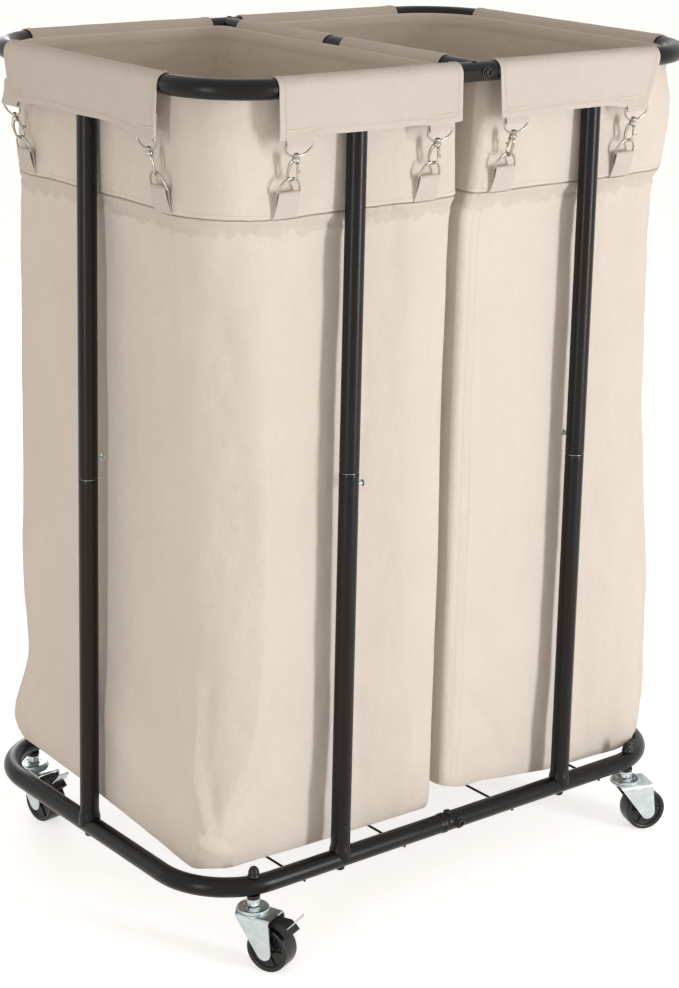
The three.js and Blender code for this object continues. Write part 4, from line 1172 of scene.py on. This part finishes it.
for name, bag in bags.items():
    facing = {"closed": True, "flip": name == "right"}
    rows = [[bag_point(name, p, sagging(name, p, h), out) for p in columns] for h, out in band_rows]
    down = [height * MM for height, _ in band_rows]
    mesh = cloth_mesh("bag_" + name + "_band", rows, canvas_wall, around, down, **facing)
    bag["band"] = add_piece(mesh.name, mesh, canvas, "bag_" + name)

    rows = [[bag_point(name, p, h, out) for p in columns] for h, out in body_rows]
    down = [height * MM for height, _ in body_rows]
    edge = rows[-1]
    centre = sum(edge, Vector()) / len(edge)
    for share, rise in bottom_rows:
        rows.append(bottom_row(edge, centre, share, rise))
        down.append(down[-1] - 0.02)
    mesh = cloth_mesh("bag_" + name + "_body", rows, canvas_wall, around, down, **facing)
    bag["body"] = add_piece(mesh.name, mesh, canvas, "bag_" + name)
print("columns:", len(columns), "band rows:", len(band_rows), "body rows:", len(body_rows))

# %% [markdown]
# ## Flaps over the tubes
# Each flap is sewn inside the bag's rim, folds over the tube and hangs down outside. It follows the
# ring's centreline, so it also bends a little way round the corners. The hem is a doubled edge, and
# the clips pull it down where they hang.

# %% Places along a side
sides = {
    "front": (0, half_width, straight_x),
    "right": (math.pi / 2, half_length, straight_y),
    "back": (math.pi, half_width, straight_x),
    "left": (-math.pi / 2, half_length, straight_y),
    "divider_right": (math.pi / 2, 0, half_width),
    "divider_left": (-math.pi / 2, 0, half_width),
}


def along_side(side, s, out, z):
    """A point beside a tube: s runs left to right as seen from outside, out is away from it."""
    turn, reach, straight = sides[side]
    past = abs(s) - straight
    if past <= 0:
        x, y = s, -(reach + out)
    else:
        angle = past / corner_radius
        x = math.copysign(straight + (corner_radius + out) * math.sin(angle), s)
        y = -(reach - corner_radius + (corner_radius + out) * math.cos(angle))
    return Matrix.Rotation(turn, 3, "Z") @ Vector((x, y, z))


# side, from, to, how far the lower corners stand in at the two ends
flaps = {
    "left_front": ("front", -276, -35, 1, 0),
    "left_back": ("back", 28, 286, 1, 11),
    "left_end": ("left", -151, 151, 13, 2),
    "left_divider": ("divider_right", 28, 198, 3, 3),
    "right_front": ("front", 19, 262, 4, 16),
    "right_back": ("back", -262, -19, 16, 4),
    "right_end": ("right", -164, 164, 9, 8),
    "right_divider": ("divider_left", 4, 178, 3, 3),
}
cover = tube_radius + 1.35
flap_wall, hem = 1.1, 8.5
fold_share, inner_fall, hem_fall = 0.3, 9, 49.5


def flap_seed(name):
    return sum(map(ord, name)) * 0.37


def flap_hem(name, s):
    """How far below the tube's middle the hem hangs."""
    side = flaps[name][0]
    pulls = zip(clip_places.get(side, []), hem_pulls.get(side, []))
    dips = [dip * bell(s - place, width) for place, (dip, width) in pulls]
    wander = 1.8 * noise.noise(Vector((s / 70, flap_seed(name), 0)))
    return hem_fall + max(dips, default=0) + wander


def flap_point(name, s, t, out=0.0):
    """s along the tube; t from -1 inside, over the tube until 0, and down to 1 at the hem."""
    side, start, stop, near, far = flaps[name]
    seed = flap_seed(name)
    pull = max([bell(s - c, tug_width) for c in clip_places.get(side, [])], default=0)
    rumple = noise.noise(Vector((s / 34, t * 1.3, seed)))
    fine = noise.noise(Vector((s / 11, t * 3, seed + 7)))
    level = 0
    if t <= -fold_share:
        away, z = -cover - out, -inner_fall * (t + fold_share) / (fold_share - 1)
    elif t <= 0:
        angle = math.pi * (-t / fold_share)
        radius = cover + 0.25 * rumple + 0.12 * fine
        away = radius * math.cos(angle) + out * math.cos(angle)
        z = radius * math.sin(angle) + out * math.sin(angle)
    else:
        loose = 0.0 if side.startswith("divider") else 1.0
        swing = loose * (1.5 * rumple + 0.5 * fine + 1.2 * pull - 0.3) * eased(0, 0.8, t)
        away, z = cover + 0.2 + swing + out, -t * flap_hem(name, s)
        level = t
    share = (s - start) / (stop - start)
    s += (near * (1 - share) - far * share) * level**1.2
    return along_side(side, s, away, top_z + z)


def laid_length(t):
    """How far along the flat flap a t lies, from the top of its outer side."""
    if t > 0:
        return -50 * t
    return -110 * t if t > -fold_share else 33 - (t + fold_share) * 13


down = [-1, -0.8, -0.55] + [-fold_share * (1 - i / 14) for i in range(15)]
down += [0.06, 0.14, 0.24, 0.34, 0.44, 0.54, 0.64, 0.74, 0.815, 0.838, 0.92, 0.985, 1.0]
for name, (side, start, stop, _, _) in flaps.items():
    inner = stop - start - 2 * hem
    count = round(inner / 5)
    across = [start, start + 0.6, start + hem - 0.4, start + hem + 0.5]
    across += [start + hem + inner * i / count for i in range(1, count)]
    across += [stop - hem - 0.5, stop - hem + 0.4, stop - 0.6, stop]
    rows = []
    for t in down:
        doubled = [s < start + hem or s > stop - hem or t > 0.83 for s in across]
        outs = [0.25 if two else 0.0 for two in doubled]
        rows.append([flap_point(name, s, t, out) for s, out in zip(across, outs)])
    widths = [(s - start) * MM for s in across]
    lengths = [laid_length(t) * MM for t in down]
    mesh = cloth_mesh("flap_" + name, rows, flap_wall, widths, lengths, flip=True)
    # the flap takes the greyer copy of the canvas, which is painted shade
    add_piece(mesh.name, mesh, canvas_doubled, "bag_" + name.split("_")[0])
print("flaps:", len(flaps))

# %% [markdown]
# Two kinds of strap hold each clip. One hangs from under the flap's hem and folds round the clip's
# bar. The other stands out from the band's seam, a doubled strip folded round the ring that the hook
# takes. Both are short strips of the same canvas.

# %% Straps
clip_out, clip_z = 12.9, top_z - 56
lean, clip_length = math.radians(18), 57
ring_out, ring_z = clip_out - clip_length * math.sin(lean), clip_z - clip_length * math.cos(lean)
foot_out, foot_z = -9.4, top_z - 137.2


def strap_mesh(name, side, place, path, half_widths):
    """A strip that follows (out, z) points, with a half width at each."""
    across = [-1, -0.96, -0.8, -0.4, 0, 0.4, 0.8, 0.96, 1]
    rows = []
    for (out, z), half in zip(path, half_widths):
        rows.append([along_side(side, place + half * a, out, z) for a in across])
    lengths = [0]
    for a, b in zip(path, path[1:]):
        lengths.append(lengths[-1] + math.dist(a, b))
    widths = [(a + 1) * half_widths[0] * MM for a in across]
    return cloth_mesh(name, rows, canvas_wall, widths, [length * MM for length in lengths])


def fold_round(out, z, radius, start_deg, stop_deg, steps=9):
    turns = [math.radians(start_deg + (stop_deg - start_deg) * i / steps) for i in range(steps + 1)]
    return [(out + radius * math.cos(t), z + radius * math.sin(t)) for t in turns]


upper = [(clip_out - 3.4, clip_z + 26), (clip_out - 3.2, clip_z + 18), (clip_out - 2.9, clip_z + 9)]
upper += fold_round(clip_out, clip_z, 2.5, 160, 380)
upper += [(clip_out + 0.6, clip_z + 7), (clip_out - 0.7, clip_z + 13), (clip_out - 1.4, clip_z + 24)]
upper_half = [15.8] * len(upper)
lower = [(foot_out - 3.2, foot_z - 0.4), (foot_out - 0.2, foot_z + 0.4), (foot_out + 1.9, foot_z + 6)]
lower += [(ring_out + 1.2, ring_z - 9)] + fold_round(ring_out, ring_z, 2.9, -15, 165)
lower += [(ring_out - 4.0, ring_z - 9), (foot_out - 0.6, foot_z + 6), (foot_out - 2.4, foot_z + 1.4)]
lower_half = [15.4, 15.2, 14.6, 13.6] + [13.2] * (len(lower) - 7) + [13.6, 14.4, 14.9]

straps = {"left": [], "right": []}
for side, places in clip_places.items():
    for place in places:
        bag_name = "left" if along_side(side, place, 0, 0).x < 0 else "right"
        straps[bag_name].append(strap_mesh("upper_strap", side, place, upper, upper_half))
        straps[bag_name].append(strap_mesh("lower_strap", side, place, lower, lower_half))
for bag_name, pieces in straps.items():
    mesh = soften(merged("straps_" + bag_name, *pieces), 50)
    # the straps take the greyer copy of the canvas, which is painted shade
    add_piece(mesh.name, mesh, canvas_doubled, "bag_" + bag_name)
print("straps:", sum(map(len, straps.values())))

# %% [markdown]
# ## Stitching
# A line of sewing is the same short stitch again and again along a path. Geometry Nodes put a stitch
# every few millimetres on each line, turned along it. A stitch is a low bar with pointed ends, because
# there are thousands of them.

# %% A node tree for stitches
stitch_pitch = 3.2
stitch_inputs = [("Pitch", "NodeSocketFloat", stitch_pitch * MM), ("Stitch", "NodeSocketObject", None)]
stitch_tree, given = new_tree("stitches", stitch_inputs)
line = step(stitch_tree, "GeometryNodeMeshToCurve", {"Mesh": given["Geometry"]})
links = {"Curve": line.outputs["Curve"], "Length": given["Pitch"]}
holes = step(stitch_tree, "GeometryNodeCurveToPoints", links, mode="LENGTH")
model = step(stitch_tree, "GeometryNodeObjectInfo", {"Object": given["Stitch"]})
links = {"Points": holes.outputs["Points"], "Rotation": holes.outputs["Rotation"]}
links |= {"Instance": model.outputs["Geometry"]}
sewn = step(stitch_tree, "GeometryNodeInstanceOnPoints", links)
end_tree(stitch_tree, sewn.outputs["Instances"], given)

stitch_mesh = lathed("stitch", [(0, -1.3), (0.34, -0.7), (0.34, 0.7), (0, 1.3)], 4, 80)


def sew(name, lines):
    paths = [(line, [1.0] * len(line), False) for line in lines]
    stitch_object = bpy.data.objects.new("stitch_model", stitch_mesh)
    values = {"Pitch": stitch_pitch * MM, "Stitch": stitch_object, "Finish": cotton_thread}
    mesh = grow(name, path_mesh(name, paths), stitch_tree, values)
    bpy.data.objects.remove(stitch_object)
    return mesh


# %% Lines of sewing
def bag_line(name, height, out, count=400):
    places = [8 * i / count for i in range(count + 1)]
    return [bag_point(name, p, sagging(name, p, height), out) for p in places]


# rows of (height, how far out) round each bag
bag_seams = [(866, -1.7 - canvas_wall - 0.1), (866, 0.5), (741.5, 0.65), (14, 0.6), (5.5, 0.75)]
sewing = {name: [bag_line(name, height, out) for height, out in bag_seams] for name in bags}
tacks = {name: [] for name in bags}
# seams beside a flap's edges and above its hem, and the bar tacks that hold the straps
edge_seam, above_hem, seam_out = 6, 0.87, 0.55
tack_half, tack_level, tack_out = 15.5, 0.78, 0.25
for name, (side, start, stop, _, _) in flaps.items():
    bag_name = name.split("_")[0]
    for s in (start + edge_seam, stop - edge_seam):
        falls = [-fold_share + (above_hem + fold_share) * i / 40 for i in range(41)]
        sewing[bag_name].append([flap_point(name, s, t, seam_out) for t in falls])
    first, run = start + edge_seam, stop - start - 2 * edge_seam
    along = [first + run * i / 80 for i in range(81)]
    sewing[bag_name].append([flap_point(name, s, above_hem, seam_out) for s in along])
    for place in clip_places.get(side, []):
        if start < place < stop:
            across = [place - tack_half + 2 * tack_half * i / 12 for i in range(13)]
            tacks[bag_name].append([flap_point(name, s, tack_level, tack_out) for s in across])
for p in (0.012, 0.048):
    sewing["right"].append([bag_point("right", p, h, 0.1) for h in range(732, 8, -8)])
for name, lines in sewing.items():
    bars_across = [(line, [0.3] + [0.8] * (len(line) - 2) + [0.3], False) for line in tacks[name]]
    bar_tacks = bars("tacks", bars_across, cotton_thread, 8)
    mesh = merged("stitching_" + name, sew("running", lines), bar_tacks)
    add_piece(mesh.name, mesh, cotton_thread, "bag_" + name)
    print("stitching", name, len(mesh.polygons), "faces")

# %% [markdown]
# ## Trigger clips
# A clip is a bent wire loop, a turning ball, and a hook with a sprung gate that closes on its tip. Its
# wires follow paths, so the same tree for round bars makes them. The hook holds a half-round ring.

# %% Model of a clip
def loop_path(half, depth, steps=20, base=0.0):
    turns = [math.pi * i / steps for i in range(steps + 1)]
    arc = [(half * math.cos(t), 0, base + depth * math.sin(t)) for t in turns]
    bar = [(-half + 2 * half * i / 6, 0, base) for i in range(1, 6)]
    return arc + bar


hook_fall = 23.1
side_shares = [0, -0.75, -1, -1, -0.7, 0, 0.75, 1]
drop_shares = [0, 0.14, 0.36, 0.67, 0.9, 1, 0.9, 0.74]


def smooth_path(points, steps=5):
    points = [Vector(p) for p in points]
    keys = [(i, *p) for i, p in enumerate(points)]
    return [Vector(read_curve(keys, i / steps)) for i in range((len(points) - 1) * steps + 1)]


hook_spots = [(4.9 * s, 0, -18.2 - hook_fall * d) for s, d in zip(side_shares, drop_shares)]
hook_points = smooth_path(hook_spots)
hook_taper = [(0, 2.1), (0.2, 1.9), (0.5, 1.35), (0.8, 1.35), (1, 1.1)]
hook_shares = [i / (len(hook_points) - 1) for i in range(len(hook_points))]
hook_radii = [read_curve(hook_taper, share)[0] for share in hook_shares]
loop, ring = loop_path(17.5, -14), loop_path(14.5, 18.5, base=-clip_length)
loop_radius, ring_radius = 1.05, 1.15
knuckle_profile = [(0, -10.4), (1.6, -10.5), (2.9, -11.2), (3.3, -12.3), (2.9, -13.4), (2.3, -14.2)]
knuckle_profile += [(2.7, -15), (4.0, -16), (4.3, -17.4), (4.1, -19), (3.0, -20.2), (0, -20.4)]
knuckle = lathed("knuckle", knuckle_profile, 20, 45)
pivot, tip = Vector((2.695, 0, -22.3)), Vector((4.9, 0, -33.39))
lever = [pivot + Vector((0, 0, 0.4)), pivot.lerp(tip, 0.25), pivot.lerp(tip, 0.7), tip]
nub_root = pivot.lerp(tip, 0.6)
nub = [nub_root + Vector((x, 0, z)) for x, z in ((0, 0), (2.4, -0.9), (4.3, -2.1), (4.8, -2.5))]
gate_paths = [(lever, [1.2, 1.25, 1.25, 1.1], False), (nub, [1.1, 1.2, 1.35, 0.8], False)]
barrel_profile = [(0, -2.5), (1.5, -2.5), (1.8, -2.2), (1.8, 2.2), (1.5, 2.5), (0, 2.5)]
barrel_place = Matrix.Translation(pivot) @ Matrix.Rotation(math.pi / 2, 4, "X")
barrel = lathed("barrel", barrel_profile, 16, 40, place=barrel_place)
# how far each hook has turned under its loop, in degrees
hook_turns = {"front": [-35, -35, 80, -25], "back": [30, -60, 50, -40]}
hook_turns |= {"left": [70, 150], "right": [-40, 60]}
fixed_paths = [(loop, [loop_radius] * len(loop), True), (ring, [ring_radius] * len(ring), True)]
fixed_wires = bars("fixed_wires", fixed_paths, nickel, 10)
hook_wire = merged("hook_wire", bars("hook", [(hook_points, hook_radii, False)], nickel, 10), knuckle)
gate_wire = merged("gate_wire", bars("gate", gate_paths, nickel, 10), barrel)
for side, places in clip_places.items():
    turn, reach, _ = sides[side]
    for k, place in enumerate(places):
        name = side + "_" + str(k + 1)
        spot = Matrix.Rotation(turn, 4, "Z") @ Matrix.Translation((place, -reach - clip_out, clip_z))
        spot = spot @ Matrix.Rotation(lean, 4, "X")
        turned_spot = spot @ Matrix.Rotation(math.radians(hook_turns[side][k]), 4, "Z")
        wires = placed("fixed", fixed_wires, spot), placed("hook", hook_wire, turned_spot)
        mesh = soften(merged("clip_" + name + "_wires", *wires), 45)
        add_piece(mesh.name, mesh, nickel, "clip_" + name)
        mesh = soften(placed("gate_" + name + "_lever", gate_wire, turned_spot), 45)
        add_piece(mesh.name, mesh, nickel, "gate_" + name, "trigger_" + name)
print("clips:", sum(map(len, clip_places.values())))

for name, bag in bags.items():
    band, body = bag["band"], bag["body"]
    # six upper strips of 58 mm and six lower ones of 66 mm, cut from one tape
    straps = bpy.data.objects["straps_" + name]

# %% [markdown]
# ## Room, lamps and camera
# A white floor, a soft lamp from the right front, a narrow one from the left whose streak shows on the
# tubes, two weak ones behind, and a bright room. The floor and the room are white to the camera, and
# the floor still takes the shadow.

# %% Floor and world
floor_mesh = bpy.data.meshes.new("floor")
floor_mesh.from_pydata([(-9, -9, 0), (9, -9, 0), (9, 9, 0), (-9, 9, 0)], [], [[0, 1, 2, 3]])
floor = in_scene("floor", floor_mesh)
floor_paint, tree, shader, _ = new_finish("floor_paint", (0.86, 0.86, 0.86), 0.9, specular=0.1)
shader.inputs["Emission Color"].default_value = (1, 1, 1, 1)


def seen_or_mirrored(tree):
    path = tree.nodes.new("ShaderNodeLightPath").outputs
    seen = math_node(tree, "MAXIMUM", path["Is Camera Ray"], path["Is Glossy Ray"])
    return math_node(tree, "MAXIMUM", seen, path["Is Transmission Ray"])


glow = math_node(tree, "MULTIPLY", seen_or_mirrored(tree), 0.6)
tree.links.new(glow, shader.inputs["Emission Strength"])
floor_mesh.materials.append(floor_paint)

world = bpy.data.worlds.new("room")
bpy.context.scene.world = world
world.use_nodes = True
tree = world.node_tree
sky = next(n for n in tree.nodes if n.type == "BACKGROUND")
tree.links.new(tint(tree, seen_or_mirrored(tree), (1, 0.9, 0.78), (1, 1, 1)), sky.inputs["Color"])
tree.links.new(remap(tree, seen_or_mirrored(tree), 0.0, 1.0, 0.5, 1.0), sky.inputs["Strength"])


# %% Lamps
def lamp(name, azimuth_deg, away, height, width, tall, watts, aim=(0, 0, 0.55)):
    """A soft lamp; its azimuth is counted from straight in front towards the right."""
    turn = math.radians(azimuth_deg)
    light = bpy.data.lights.new(name, "AREA")
    light.shape, light.size, light.size_y, light.energy = "RECTANGLE", width, tall, watts
    stand = in_scene(name, light)
    place = Vector((away * math.sin(turn), -away * math.cos(turn), height))
    stand.location = place
    stand.rotation_euler = (Vector(aim) - place).to_track_quat("-Z", "Y").to_euler()


# name, azimuth, metres away, height, width, tall, watts
lamp("key", 20, 3.1, 0.72, 0.45, 1.4, 46)
lamp("left_strip", -68, 2.8, 0.72, 0.18, 1.4, 14)
lamp("back_left_fill", -128, 3.0, 1.0, 1.0, 1.2, 3.5)
lamp("back_fill", 160, 3.2, 1.0, 1.2, 1.2, 17)

# %% Camera
camera_data = bpy.data.cameras.new("camera")
camera_data.sensor_width, camera_data.lens = 36, 85.943
camera_data.shift_y = -0.16
camera = in_scene("camera", camera_data)
camera_place, yaw, pitch, roll = (-1.68708, -2.12717, 1.29914), 0.670847, 0.244143, 0.0221806
ahead = Vector((math.cos(pitch) * math.sin(yaw), math.cos(pitch) * math.cos(yaw), -math.sin(pitch)))
level = Vector((math.cos(yaw), -math.sin(yaw), 0))
above = level.cross(ahead)
right_way = level * math.cos(roll) + above * math.sin(roll)
up_way = above * math.cos(roll) - level * math.sin(roll)
turn = Matrix((right_way, up_way, -ahead)).transposed().to_4x4()
camera.matrix_world = Matrix.Translation(camera_place) @ turn
bpy.context.scene.camera = camera
bpy.context.scene.view_settings.view_transform = "Standard"
